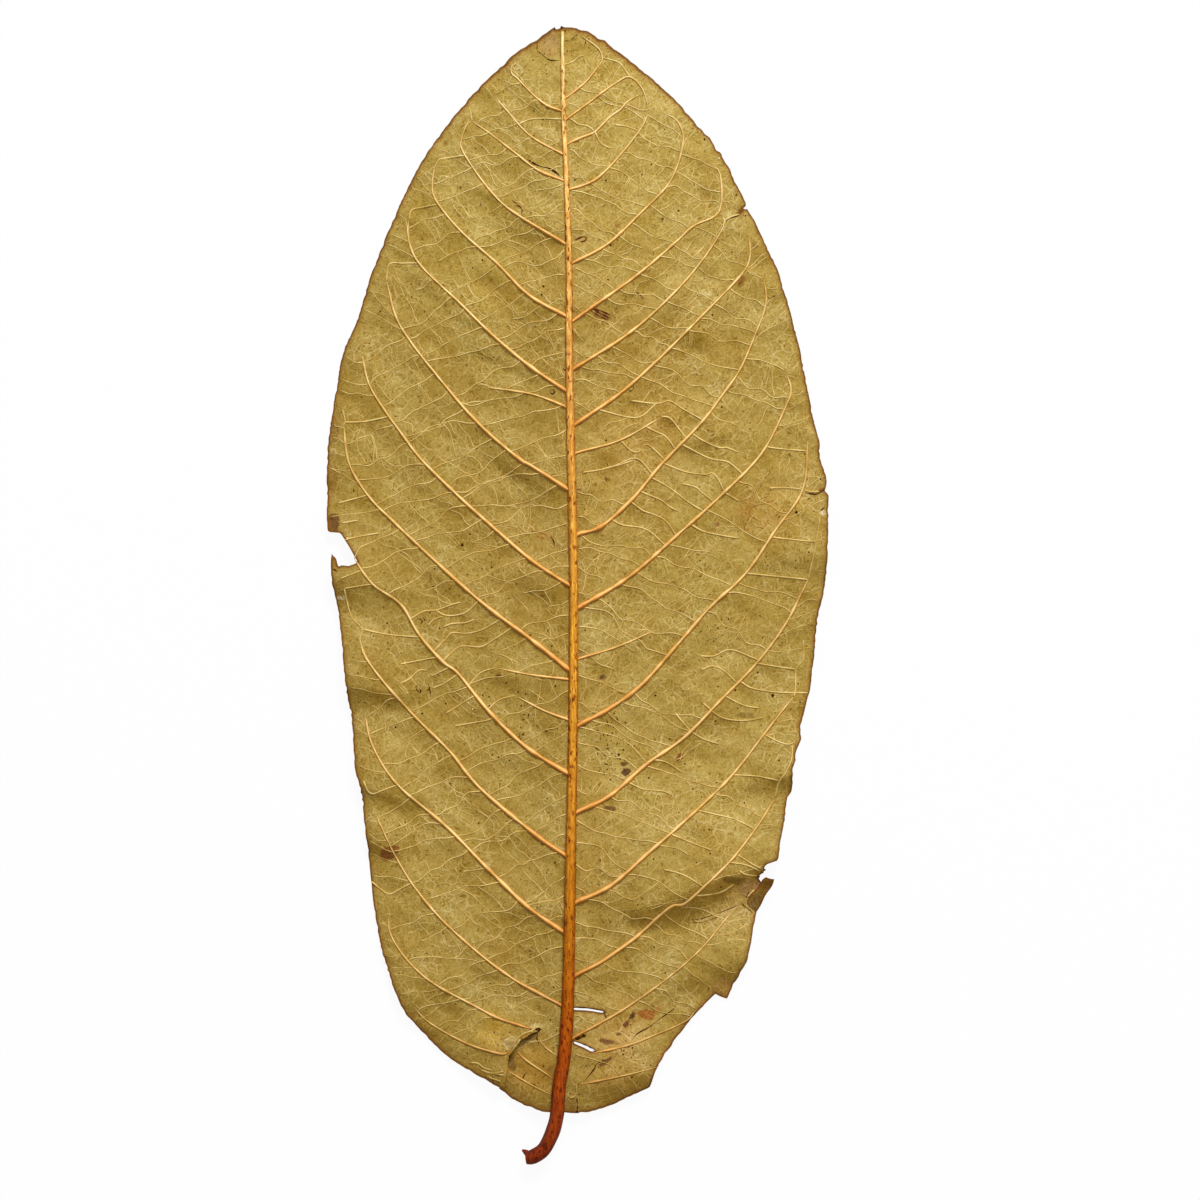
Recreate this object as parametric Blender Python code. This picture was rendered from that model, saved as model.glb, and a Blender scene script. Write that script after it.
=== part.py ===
"""A dried guava leaf, lying with its veined underside up.

Frame: the middle of the leaf's box is over the origin and the leaf rests on z = 0. +Y points to the
tip, -Y to the leaf stalk, +Z up. Lengths are in millimetres until put_in_scene turns them to metres.
"""

import math

import bmesh
import bpy
import numpy as np
from mathutils import Vector
from mathutils.geometry import delaunay_2d_cdt

MM = 0.001

# Driving dimensions, in mm
BLADE_THICKNESS = 0.4
MARGIN_STEP = 2.2
FIELD_STEP = 4.2
VEIN_STEP = 3.0
VEIN_HEIGHT = (0.5, 0.22)  # at the midrib, and at the vein's far end
VEIN_HALF_WIDTH = (0.5, 0.3)
BRANCH_HEIGHT = 0.3  # a minor vein between two laterals
RIM_CLEARANCE = 0.5  # between a vein's foot and the margin
FIELD_CLEARANCE = 1.3  # between a field point and a line
MIDRIB_SIDES = 10
MIDRIB_FOOT = 0.85  # from the midrib's middle to where the blade beside it begins
STALK_LIFT = 0.35  # daylight under the free end of the stalk
STALK_START = 4.5  # the stalk leaves the blade this far before the far end of the box
STALK_BLEND = 3.0
RIB_SINK = 0.25  # share of the blade's thickness that the midrib's bed lies below its upper face
RIB_STAND = 0.3  # share of its radius by which the midrib's middle stands over that bed
TABLE_CLEARANCE = 1.02  # the midrib's middle stays at least this many radii above the table

# How the dry blade lies: the midrib's strip arches a little, the rest is pressed flat.
PRESSED_DEPTH = 0.3  # how far the flat stretches are sunk below the table before they are levelled
MIDRIB_ARCH = 0.75
MIDRIB_ARCH_WIDTH = 5.0
MARGIN_LIFT = 0.6
MARGIN_WAVE = 9.0  # the lift comes and goes along the blade with this length
BASE_RISE = 0.8  # how far the blade rises to the stalk
BASE_RISE_POWER = 6
HALF_LENGTH = 63.3
HALF_WIDTH = 27.9

# The margin, counter-clockwise from the tip. A smooth run is a curve through its points, and a torn
# run is straight between them.
MARGIN = (
    ("smooth", ((-2.6, 63.1), (-5.2, 61.2), (-8.1, 59.2), (-11.8, 55.6), (-16.0, 50.3), (-18.9, 45.3),
                (-22.4, 36.8), (-24.5, 30.3), (-26.1, 26.8), (-27.2, 20.8), (-27.9, 12.0), (-27.6, 7.0))),
    ("torn", ((-27.6, 7.0), (-26.3, 6.9), (-25.2, 5.2), (-24.3, 3.6), (-26.4, 3.2), (-26.7, 4.0),
              (-27.2, 4.6), (-27.3, 3.9))),
    ("smooth", ((-27.3, 3.9), (-26.9, -0.1), (-26.25, -4.5), (-25.7, -11.0), (-24.8, -19.1),
                (-23.2, -29.5), (-22.6, -35.0), (-21.5, -40.6), (-19.6, -45.8), (-15.6, -50.2),
                (-13.4, -51.9), (-8.9, -54.6), (-6.9, -56.2), (-3.8, -57.45))),
    ("smooth", ((-3.8, -57.45), (-1.4, -57.6), (0.8, -57.6), (3.6, -56.9), (8.1, -54.75))),
    ("smooth", ((8.1, -54.75), (9.2, -52.1), (12.6, -47.4), (15.0, -44.8))),
    ("torn", ((15.0, -44.8), (15.4, -44.4), (16.7, -45.0))),
    ("smooth", ((16.7, -45.0), (18.7, -41.2), (19.55, -37.5), (20.0, -35.2))),
    ("torn", ((20.0, -35.2), (21.2, -32.8), (21.8, -31.6), (21.0, -31.4), (20.4, -31.8), (20.1, -31.4),
              (20.2, -31.2), (20.7, -30.4), (20.9, -30.0), (22.3, -29.4))),
    ("smooth", ((22.3, -29.4), (23.4, -23.8), (25.1, -14.3), (26.2, -7.5), (27.45, 0.8), (27.9, 8.8),
                (27.0, 14.9), (26.15, 19.2), (25.05, 25.9), (24.0, 30.2), (22.2, 36.1), (20.0, 40.6),
                (18.1, 45.1), (16.0, 49.1), (13.8, 51.8), (10.2, 55.7), (5.9, 59.3), (2.9, 61.7),
                (0.0, 63.0))),
    ("torn", ((0.0, 63.0), (-0.6, 63.3), (-1.8, 63.3), (-2.6, 63.1))),
)

# Two splits beside the midrib, each a thin wedge that is open right through
SPLITS = (
    ((-0.2, -45.9), (2.8, -46.5), (2.9, -46.2), (1.2, -45.9)),
    ((-0.4, -49.6), (1.0, -50.4), (2.1, -50.8), (1.0, -50.1)),
)

# A crease at the base, where the left side of the blade overlaps the stretch beside the stalk
CREASE = ((-4.2, -48.4), (-6.3, -49.0), (-7.4, -50.4), (-8.0, -52.6), (-8.2, -53.9))
CREASE_STEP = 0.8
CREASE_WIDTH = 0.4
CREASE_REACH = 5.0  # how far back from the crease the raised side fades out
CREASE_START = 2.0  # length over which the step grows from nothing

# The midrib and the stalk: (x, y, radius) from the tip to the cut end of the stalk
MIDRIB = (
    (-1.75, 62.6, 0.19), (-1.5, 52.8, 0.24), (-1.12, 38.0, 0.30), (-0.69, 16.0, 0.39), (-0.39, -0.6, 0.47),
    (-0.58, -22.8, 0.53), (-0.82, -36.0, 0.61), (-0.98, -45.0, 0.67), (-1.32, -51.0, 0.71),
    (-1.93, -54.5, 0.75), (-2.15, -57.2, 0.77), (-2.45, -58.8, 0.78), (-3.0, -60.3, 0.80),
    (-3.78, -61.7, 0.80), (-4.9, -62.45, 0.80), (-5.6, -62.6, 0.70),
)
SPUR = ((-5.0, -62.5, 0.50), (-5.7, -62.0, 0.30), (-6.1, -61.8, 0.10))

# The lateral veins, each from the midrib out to where it loops into the next one
LATERALS = (
    # left of the midrib
    ((-1.7, 53.7), (-3.9, 54.7), (-7.3, 58.0)),
    ((-1.6, 48.9), (-5.1, 50.9), (-9.3, 55.7)),
    ((-1.4, 45.9), (-4.3, 47.1), (-12.0, 52.9)),
    ((-1.0, 38.7), (-6.4, 42.0), (-9.4, 44.6), (-12.6, 49.1), (-12.0, 52.9)),
    ((-1.0, 30.8), (-5.3, 33.2), (-12.8, 40.3), (-15.9, 44.6), (-15.6, 48.2)),
    ((-1.1, 22.6), (-5.0, 25.2), (-12.9, 32.3), (-17.6, 36.9), (-18.6, 42.1)),
    ((-1.0, 11.7), (-6.3, 15.0), (-14.2, 22.7), (-19.6, 29.8), (-21.2, 34.9)),
    ((-0.9, 1.1), (-5.0, 3.8), (-12.9, 10.7), (-19.3, 17.6), (-22.9, 22.9), (-23.9, 26.6)),
    ((-0.9, -8.3), (-5.2, -4.9), (-15.4, 3.4), (-23.3, 11.1), (-26.0, 19.2)),
    ((-0.9, -19.9), (-5.6, -17.0), (-13.2, -8.8), (-19.6, -1.1), (-24.9, 4.4)),
    ((-1.3, -28.9), (-4.6, -26.7), (-14.2, -17.4), (-21.1, -10.1), (-24.1, -5.0)),
    ((-1.6, -37.4), (-5.6, -34.6), (-14.2, -26.1), (-19.9, -21.1), (-23.6, -13.4)),
    ((-1.8, -45.6), (-7.6, -42.4), (-13.0, -38.1), (-19.7, -30.0), (-22.4, -24.3)),
    ((-5.1, -48.0), (-10.9, -46.0), (-15.6, -43.4), (-20.7, -37.9), (-21.0, -35.8)),
    ((-2.7, -53.9), (-6.4, -50.8)),
    # right of the midrib
    ((-1.2, 55.2), (0.8, 56.4), (2.8, 60.0)),
    ((-0.9, 53.0), (1.4, 54.7), (5.9, 57.6), (8.0, 53.9)),
    ((-0.9, 44.9), (2.0, 46.0), (8.0, 53.7)),
    ((-0.6, 36.7), (3.3, 38.8), (10.4, 46.0), (11.8, 50.3), (9.7, 53.6)),
    ((-0.4, 30.4), (7.1, 35.8), (15.0, 42.0), (15.9, 46.8), (14.6, 48.0)),
    ((-0.3, 25.1), (5.6, 28.9), (13.8, 37.0), (16.3, 41.0)),
    ((-0.1, 19.0), (9.1, 26.2), (18.1, 35.4), (19.1, 40.3)),
    ((0.2, 6.8), (2.7, 7.6), (9.3, 14.4), (18.1, 25.0), (21.0, 32.3), (20.8, 35.2)),
    ((0.2, -1.4), (5.8, 2.0), (20.6, 15.8), (23.8, 22.9)),
    ((0.3, -14.4), (7.2, -10.0), (14.9, -1.3), (22.0, 7.1), (25.7, 17.2)),
    ((0.1, -24.1), (3.7, -22.3), (11.9, -15.9), (20.0, -7.6), (25.7, 1.7)),
    ((0.0, -34.1), (3.7, -32.3), (17.0, -20.3), (24.1, -11.3)),
    ((0.0, -42.2), (6.8, -37.9), (17.4, -29.0), (22.0, -22.6)),
    ((-0.2, -49.1), (5.7, -45.8), (13.8, -39.3), (17.9, -34.6)),
    ((2.8, -50.7), (6.1, -49.9), (11.8, -47.6)),
    ((0.0, -54.4), (9.0, -52.4)),
)
BRANCHES = (
    ((-1.3, 20.9), (-10.1, 23.1)), ((-0.9, -9.4), (-9.1, -8.1)), ((-0.9, -13.9), (-6.9, -11.2)),
    ((0.0, 15.8), (4.8, 17.2), (9.4, 19.8)), ((0.2, -7.1), (8.8, -3.9)),
)

# Swells of the dry blade. Each is a long low rise: (x, y) of its crest's middle, the crest's
# direction in degrees from +X, its half-length, its half-widths on the tip side and on the stalk
# side, and its height.
SWELLS = (
    (1.0, 36.0, 0, 18.0, 20.0, 13.0, 1.5),
    (16.0, -31.0, 19, 9.5, 8.0, 2.6, 2.4),
    (7.5, -34.0, 19, 5.0, 5.0, 2.2, 0.9),
    (-26.5, 2.0, -10, 7.5, 5.5, 2.3, 1.4),
    (-25.0, -9.8, -6, 6.5, 5.5, 2.1, 1.6),
    (-23.5, -21.0, -10, 6.5, 5.0, 1.9, 1.5),
    (-22.8, -26.8, -20, 4.5, 3.5, 1.8, 1.2),
    (24.0, -19.6, 14, 6.0, 6.0, 2.1, 1.8),
    (18.0, -39.9, 24, 6.5, 4.0, 2.6, 1.8),
    (27.3, 4.6, 8, 6.5, 5.5, 2.0, 1.1),
    (-18.5, -44.2, 30, 6.5, 6.0, 3.0, 0.9),
    (-5.8, 15.0, -33, 6.5, 4.5, 2.2, 0.7),
    (-5.6, 1.4, 2, 4.2, 3.2, 1.8, 0.65),
    (-5.8, -9.3, -10, 5.0, 3.0, 2.0, 0.5),
    (14.2, 17.8, 15, 3.8, 3.0, 1.8, 0.6),
    (13.0, 30.0, 40, 2.8, 2.6, 1.6, 0.4),
    (10.6, 32.8, 40, 2.8, 2.4, 1.5, 0.35),
    (-3.4, 41.4, -20, 4.0, 3.0, 1.8, 0.45),
    (-8.2, 35.5, -40, 2.6, 2.6, 1.5, 0.32),
    (13.6, -12.8, 35, 5.5, 4.5, 2.6, 0.8),
    (-6.3, -34.6, -4, 4.5, 3.0, 1.6, 0.4),
    (9.5, -26.0, 12, 9.0, 5.0, 4.5, 0.8),
    (6.5, -53.2, 12, 6.0, 4.0, 2.2, 1.1),
)

# The torn tab curls up from this point of the lower right margin
TAB = (21.8, -31.6)
TAB_REACH = 2.3
TAB_RISE = 2.4


def smooth_curve(points, step):
    """Catmull-Rom curve through the points, sampled about every step."""
    points = np.array(points, float)
    ends = (2 * points[0] - points[1], 2 * points[-1] - points[-2])
    padded = np.vstack([ends[0], points, ends[1]])
    samples = []
    for before, start, end, after in zip(padded, padded[1:], padded[2:], padded[3:]):
        count = max(1, round(float(np.linalg.norm((end - start)[:2])) / step))
        t = (np.arange(count) / count)[:, None]
        samples.append(
            0.5 * (2 * start + (end - before) * t + (2 * before - 5 * start + 4 * end - after) * t**2
                   + (3 * start - before - 3 * end + after) * t**3)
        )
    return np.vstack(samples + [points[-1:]])


def margin_loop():
    """The closed margin as an array of points, without its repeated corners."""
    runs = []
    for kind, points in MARGIN:
        run = smooth_curve(points, MARGIN_STEP) if kind == "smooth" else np.array(points, float)
        runs.append(run[:-1])
    return np.vstack(runs)


def from_segments(points, starts, ends):
    """Distance of each point from each segment, and how far along the segment the nearest spot is."""
    run = ends - starts
    offset = points[:, None, :] - starts[None, :, :]
    along = (offset * run).sum(2) / np.maximum((run**2).sum(1), 1e-12)
    along = np.clip(along, 0.0, 1.0)
    nearest = offset - along[..., None] * run
    return np.linalg.norm(nearest, axis=2), along


def from_loop(points, loop):
    return from_segments(points, loop, np.roll(loop, -1, axis=0))[0].min(axis=1)


def inside(points, loop):
    """Even-odd test of each point against a closed loop."""
    x, y = points[:, :1], points[:, 1:]
    x1, y1 = loop.T
    x2, y2 = np.roll(loop, -1, axis=0).T
    crosses = (y1 > y) != (y2 > y)
    rise = np.where(y2 == y1, 1.0, y2 - y1)
    return (crosses & (x < x1 + (y - y1) * (x2 - x1) / rise)).sum(axis=1) % 2 == 1


def midrib_x(y):
    rows = np.array(MIDRIB)[::-1]
    return np.interp(y, rows[:, 1], rows[:, 0])


def crease_rise(points):
    """The blade left of the crease stands a step above the blade right of it."""
    line = np.array(CREASE)
    starts, ends = line[:-1], line[1:]
    distance, along = from_segments(points, starts, ends)
    nearest = distance.argmin(axis=1)
    run = (ends - starts)[nearest]
    offset = points - starts[nearest]
    side = np.sign(offset[:, 0] * run[:, 1] - offset[:, 1] * run[:, 0])
    signed = side * distance.min(axis=1)
    step = np.clip(signed / CREASE_WIDTH + 0.5, 0.0, 1.0)
    lengths = np.linalg.norm(ends - starts, axis=1)
    passed = (np.cumsum(lengths) - lengths)[nearest]
    reached = passed + along[np.arange(len(points)), nearest] * lengths[nearest]
    grown = np.clip(reached / CREASE_START, 0.0, 1.0)
    return CREASE_STEP * grown * step * np.exp(-((signed / CREASE_REACH) ** 2))


def lie_of_blade(points):
    """Height of the blade's lower face above the table: flat where it is pressed down."""
    x, y = points.T
    height = -PRESSED_DEPTH + MIDRIB_ARCH * np.exp(-(((x - midrib_x(y)) / MIDRIB_ARCH_WIDTH) ** 2))
    height += MARGIN_LIFT * (x / HALF_WIDTH) ** 4 * (0.5 + 0.5 * np.cos(y / MARGIN_WAVE))
    height += BASE_RISE * np.clip(-y / HALF_LENGTH, 0, 1) ** BASE_RISE_POWER
    for cx, cy, degrees, length, above, below, rise in SWELLS:
        turn = math.radians(degrees)
        along = (x - cx) * math.cos(turn) + (y - cy) * math.sin(turn)
        across = (y - cy) * math.cos(turn) - (x - cx) * math.sin(turn)
        width = np.where(across > 0, above, below)
        height += rise * np.exp(-((along / length) ** 2) - (across / width) ** 2)
    from_tab = np.hypot(x - TAB[0], y - TAB[1])
    height += TAB_RISE * np.clip(1 - from_tab / TAB_REACH, 0, 1)
    return np.maximum(height + crease_rise(points), 0.0)


def vein_segments():
    """Every vein as segments (starts, ends), with the relief's height and half-width at both ends."""
    rows = []
    for points in LATERALS + BRANCHES:
        curve = smooth_curve(points, VEIN_STEP)
        t = np.linspace(0, 1, len(curve))
        tall = BRANCH_HEIGHT if points in BRANCHES else VEIN_HEIGHT[0]
        height = tall + (VEIN_HEIGHT[1] - tall) * t
        half = VEIN_HALF_WIDTH[0] + (VEIN_HALF_WIDTH[1] - VEIN_HALF_WIDTH[0]) * t
        line = np.column_stack([curve, height, half])
        rows.append(np.hstack([line[:-1], line[1:]]))
    rows = np.vstack(rows)
    return rows[:, :4], rows[:, 4:]


def vein_relief(points, starts, ends):
    """Height of the raised veins at each point: a ridge with straight sides along each vein."""
    distance, along = from_segments(points, starts[:, :2], ends[:, :2])
    height = starts[:, 2] + (ends[:, 2] - starts[:, 2]) * along
    half = starts[:, 3] + (ends[:, 3] - starts[:, 3]) * along
    return (height * np.clip(1 - distance / half, 0, 1)).max(axis=1)


def beside(curve, distance, sides, margin):
    """Segments of the curve's offset to each side, kept clear of the margin and the splits."""
    run = np.gradient(curve, axis=0)
    normal = np.column_stack([-run[:, 1], run[:, 0]]) / np.linalg.norm(run, axis=1)[:, None]
    spots = np.linspace(0, 1, 9)[:, None]
    segments = []
    for side in sides:
        line = curve + side * distance * normal
        for start, end in zip(line, line[1:]):
            tried = start + (end - start) * spots
            clear = inside(tried, margin)
            for loop in [margin] + [np.array(split) for split in SPLITS]:
                clear &= from_loop(tried, loop) > RIM_CLEARANCE
            if clear.all():
                segments.append((start, end))
    return segments


def vein_lines(margin):
    """The crest and both feet of every vein."""
    segments = []
    for points in LATERALS + BRANCHES:
        curve = smooth_curve(points, VEIN_STEP)
        half = np.linspace(*VEIN_HALF_WIDTH, len(curve))[:, None]
        segments += beside(curve, half, (-1, 0, 1), margin)
    return segments


def crease_lines(margin):
    """Both edges of the crease's step, clear of the margin."""
    curve = smooth_curve(CREASE, 1.0)
    return beside(curve, CREASE_WIDTH / 2, (-1, 1), margin)


def midrib_lines(margin):
    """A line on each side of the midrib, where the feet of the lateral veins end."""
    curve = smooth_curve([(x, y) for x, y, radius in MIDRIB], VEIN_STEP)
    return beside(curve, MIDRIB_FOOT, (-1, 1), margin)


def field_points(margin, segments):
    """Points in offset rows over the blade, clear of the margin and of every line."""
    rows = []
    pitch = FIELD_STEP * math.sqrt(3) / 2
    for number, y in enumerate(np.arange(-HALF_LENGTH, HALF_LENGTH, pitch)):
        x = np.arange(-HALF_WIDTH, HALF_WIDTH, FIELD_STEP) + (number % 2) * FIELD_STEP / 2
        rows.append(np.column_stack([x, np.full(len(x), y)]))
    points = np.vstack(rows)
    keep = inside(points, margin)
    for loop in [margin] + [np.array(split) for split in SPLITS]:
        keep &= from_loop(points, loop) > FIELD_CLEARANCE
    points = points[keep]
    segments = np.array(segments)
    distance, _ = from_segments(points, segments[:, 0], segments[:, 1])
    return points[distance.min(axis=1) > FIELD_CLEARANCE]


def triangulate(margin, segments):
    """Triangles of the blade in plan that keep the margin, the splits and the given lines as edges."""
    loops = [margin] + [np.array(split) for split in SPLITS]
    points, edges = [], []
    for loop in loops:
        first = len(points)
        points += [Vector(p) for p in loop]
        edges += [(first + i, first + (i + 1) % len(loop)) for i in range(len(loop))]
    for start, end in segments:
        edges.append((len(points), len(points) + 1))
        points += [Vector(start), Vector(end)]
    points += [Vector(p) for p in field_points(margin, segments)]
    found = delaunay_2d_cdt(points, edges, [], 0, 1e-4)
    plan = np.array([tuple(p) for p in found[0]])
    faces = np.array(found[2])
    centres = plan[faces].mean(axis=1)
    keep = inside(centres, margin)
    for split in SPLITS:
        keep &= ~inside(centres, np.array(split))
    faces = faces[keep]
    a, b, c = plan[faces[:, 0]], plan[faces[:, 1]], plan[faces[:, 2]]
    turned = (b - a)[:, 0] * (c - a)[:, 1] < (b - a)[:, 1] * (c - a)[:, 0]
    faces[turned] = faces[turned][:, ::-1]
    return plan, faces


def rim_edges(faces):
    """Directed edges that only one triangle uses."""
    edges = np.vstack([faces[:, [0, 1]], faces[:, [1, 2]], faces[:, [2, 0]]])
    own = {tuple(edge) for edge in edges}
    return [edge for edge in own if edge[::-1] not in own]


def blade_mesh():
    """The blade as one closed mesh: a veined upper face, a plain lower face and the cut rim."""
    margin = margin_loop()
    crease = crease_lines(margin)
    veins = vein_lines(margin) + midrib_lines(margin)
    upper_plan, upper_faces = triangulate(margin, veins + crease)
    lower_plan, lower_faces = triangulate(margin, crease)
    starts, ends = vein_segments()
    tops = lie_of_blade(upper_plan) + BLADE_THICKNESS + vein_relief(upper_plan, starts, ends)
    upper_rim = rim_edges(upper_faces)
    on_rim = sorted({vertex for edge in upper_rim for vertex in edge})
    tops[on_rim] = lie_of_blade(upper_plan[on_rim]) + BLADE_THICKNESS

    mesh = bmesh.new()
    upper = [mesh.verts.new((x, y, z)) for (x, y), z in zip(upper_plan, tops)]
    lower = [mesh.verts.new((x, y, z)) for (x, y), z in zip(lower_plan, lie_of_blade(lower_plan))]
    for face in upper_faces:
        mesh.faces.new([upper[i] for i in face])
    for face in lower_faces:
        mesh.faces.new([lower[i] for i in face[::-1]])
    below = {}
    for vertex in {v for edge in rim_edges(lower_faces) for v in edge}:
        below[tuple(np.round(lower_plan[vertex], 3))] = lower[vertex]
    for start, end in upper_rim:
        foot = [below[tuple(np.round(upper_plan[i], 3))] for i in (end, start)]
        mesh.faces.new([upper[end], upper[start], foot[1], foot[0]])
    bmesh.ops.delete(mesh, geom=[v for v in mesh.verts if not v.link_faces], context="VERTS")
    return mesh


def tube_mesh(path, sides):
    """A closed round tube along (x, y, z, radius) rows, with flat ends."""
    path = np.array(path)
    run = np.gradient(path[:, :3], axis=0)
    run /= np.linalg.norm(run, axis=1)[:, None]
    across = np.cross(run, (0.0, 0.0, 1.0))
    across /= np.linalg.norm(across, axis=1)[:, None]
    up = np.cross(across, run)
    angles = np.arange(sides) * 2 * math.pi / sides
    mesh = bmesh.new()
    rings = []
    for centre, side, rise, radius in zip(path[:, :3], across, up, path[:, 3]):
        around = [centre + radius * (math.cos(a) * side + math.sin(a) * rise) for a in angles]
        rings.append([mesh.verts.new(point) for point in around])
    for ring, following in zip(rings, rings[1:]):
        for i in range(sides):
            j = (i + 1) % sides
            mesh.faces.new([ring[i], ring[j], following[j], following[i]])
    mesh.faces.new(rings[0][::-1])
    mesh.faces.new(rings[-1])
    bmesh.ops.recalc_face_normals(mesh, faces=mesh.faces)
    return mesh


def rib_path(rows):
    """Rows of (x, y, radius) as a path that rides half sunk in the blade, or clear of the table."""
    curve = smooth_curve(rows, VEIN_STEP / 2)
    plan = curve[:, :2]
    over_blade = np.clip((plan[:, 1] + HALF_LENGTH - STALK_START) / STALK_BLEND, 0, 1)
    on_blade = lie_of_blade(plan) + (1 - RIB_SINK) * BLADE_THICKNESS + RIB_STAND * curve[:, 2]
    free = STALK_LIFT + curve[:, 2]
    height = np.maximum(over_blade * on_blade + (1 - over_blade) * free, curve[:, 2] * TABLE_CLEARANCE)
    return np.column_stack([plan, height, curve[:, 2]])


def put_in_scene(mesh, name, collection):
    """Turns a mesh in millimetres into an object in metres."""
    bmesh.ops.scale(mesh, vec=(MM, MM, MM), verts=mesh.verts)
    data = bpy.data.meshes.new(name)
    mesh.to_mesh(data)
    mesh.free()
    piece = bpy.data.objects.new(name, data)
    collection.objects.link(piece)
    return piece


def fuse(body, addition):
    """Joins a hidden helper solid to the body."""
    addition.hide_render = True
    addition.display_type = "WIRE"
    union = body.modifiers.new(addition.name, "BOOLEAN")
    union.operation = "UNION"
    union.solver = "EXACT"
    union.object = addition


def dry_leaf_material():
    material = bpy.data.materials.new("dry_leaf")
    material.use_nodes = True
    shader = material.node_tree.nodes["Principled BSDF"]
    shader.inputs["Base Color"].default_value = (0.43, 0.27, 0.065, 1.0)
    shader.inputs["Roughness"].default_value = 0.7
    shader.inputs["Metallic"].default_value = 0.0
    return material


def main():
    for old in list(bpy.data.objects):
        bpy.data.objects.remove(old)
    collection = bpy.context.scene.collection
    leaf = put_in_scene(blade_mesh(), "leaf", collection)
    leaf.data.materials.append(dry_leaf_material())
    fuse(leaf, put_in_scene(tube_mesh(rib_path(MIDRIB), MIDRIB_SIDES), "midrib_and_stalk", collection))
    fuse(leaf, put_in_scene(tube_mesh(rib_path(SPUR), MIDRIB_SIDES), "stalk_spur", collection))
    leaf.data.shade_smooth()
    leaf.data.set_sharp_from_angle(angle=math.radians(40))


main()
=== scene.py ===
"""A dried guava leaf, lying with its veined underside up on a white table.

Frame: the leaf's box is centred over the origin and the leaf rests on z = 0. +Y points to the tip, -Y to
the leaf stalk. The leaf is worked out in millimetres, and put_in_scene turns it to metres.
"""

import math

import bpy
import numpy as np

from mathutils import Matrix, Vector


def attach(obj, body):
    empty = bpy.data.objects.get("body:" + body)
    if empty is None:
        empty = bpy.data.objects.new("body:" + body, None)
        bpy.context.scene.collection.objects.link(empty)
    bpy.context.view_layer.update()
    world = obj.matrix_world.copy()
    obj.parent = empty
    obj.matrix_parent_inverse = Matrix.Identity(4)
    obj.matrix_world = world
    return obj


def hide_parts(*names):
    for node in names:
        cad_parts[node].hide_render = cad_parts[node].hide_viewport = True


MM = 0.001

# ---- how the blade lies, as in the solids
BLADE_THICKNESS = 0.4
PRESSED_DEPTH = 0.3  # how far under the table's face it would lie where it is pressed flat
MIDRIB_ARCH = 0.75  # how high the blade arches under the midrib
MIDRIB_ARCH_WIDTH = 5.0
MARGIN_LIFT = 0.6
MARGIN_WAVE = 9.0  # the lift comes and goes along the blade with this length
BASE_RISE = 0.8  # how far the blade rises towards the stalk
BASE_RISE_POWER = 6
HALF_LENGTH = 63.3
HALF_WIDTH = 27.9

# Swells of the dry blade: (x, y) of the crest's middle, its direction in degrees from +X, its
# half-length, its half-widths on the tip side and on the stalk side, and its height.
SWELLS = (
    (1.0, 36.0, 0, 18.0, 20.0, 13.0, 1.5),
    (16.0, -31.0, 19, 9.5, 8.0, 2.6, 2.4),
    (7.5, -34.0, 19, 5.0, 5.0, 2.2, 0.9),
    (-26.5, 2.0, -10, 7.5, 5.5, 2.3, 1.4),
    (-25.0, -9.8, -6, 6.5, 5.5, 2.1, 1.6),
    (-23.5, -21.0, -10, 6.5, 5.0, 1.9, 1.5),
    (-22.8, -26.8, -20, 4.5, 3.5, 1.8, 1.2),
    (24.0, -19.6, 10, 5.5, 6.0, 1.6, 1.8),
    (18.0, -39.9, 24, 6.5, 4.0, 2.6, 1.8),
    (27.3, 4.6, 8, 6.5, 5.5, 2.0, 1.1),
    (-18.5, -44.2, 30, 6.5, 6.0, 3.0, 0.9),
    (-5.8, 15.0, -33, 6.5, 4.5, 2.2, 0.7),
    (-5.6, 1.4, 2, 4.2, 3.2, 1.8, 0.65),
    (-5.8, -9.3, -10, 5.0, 3.0, 2.0, 0.5),
    (14.2, 17.8, 15, 3.8, 3.0, 1.8, 0.6),
    (13.0, 30.0, 40, 2.8, 2.6, 1.6, 0.4),
    (10.6, 32.8, 40, 2.8, 2.4, 1.5, 0.35),
    (-3.4, 41.4, -20, 4.0, 3.0, 1.8, 0.45),
    (-8.2, 35.5, -40, 2.6, 2.6, 1.5, 0.15),
    (13.6, -12.8, 35, 5.5, 4.5, 2.6, 0.8),
    (-6.3, -34.6, -4, 4.5, 3.0, 1.6, 0.4),
    (9.5, -26.0, 12, 9.0, 5.0, 4.5, 0.8),
    (6.5, -53.2, 12, 6.0, 4.0, 2.2, 1.1),
)

# The crease at the base, where the left side of the blade laps over the stretch beside the stalk
CREASE = ((-4.0, -48.3), (-5.2, -48.6), (-6.4, -49.2), (-7.0, -50.0), (-7.8, -51.1), (-8.0, -52.6),
          (-8.2, -54.0), (-8.7, -56.4))
CREASE_STEP = 0.8  # how far the upper layer stands over the lower one
CREASE_REACH = 5.0  # how far to the left the upper layer is lifted
CREASE_START = 2.0  # from the crease's head to where it has its full step
CREASE_LAP = 0.28  # how far the upper layer hangs over, and the lower one runs back under it
CREASE_LAP_REACH = 0.9
CREASE_COLUMN = -6.0  # the grid column that follows the crease
CREASE_GAP = 0.02  # from that column to the two grid lines beside it
CREASE_FADE = 3.0  # how far above the crease's head the column is still bent aside
CREASE_SPREAD = 9.0  # how far beyond the column the others are bent aside with it

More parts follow.
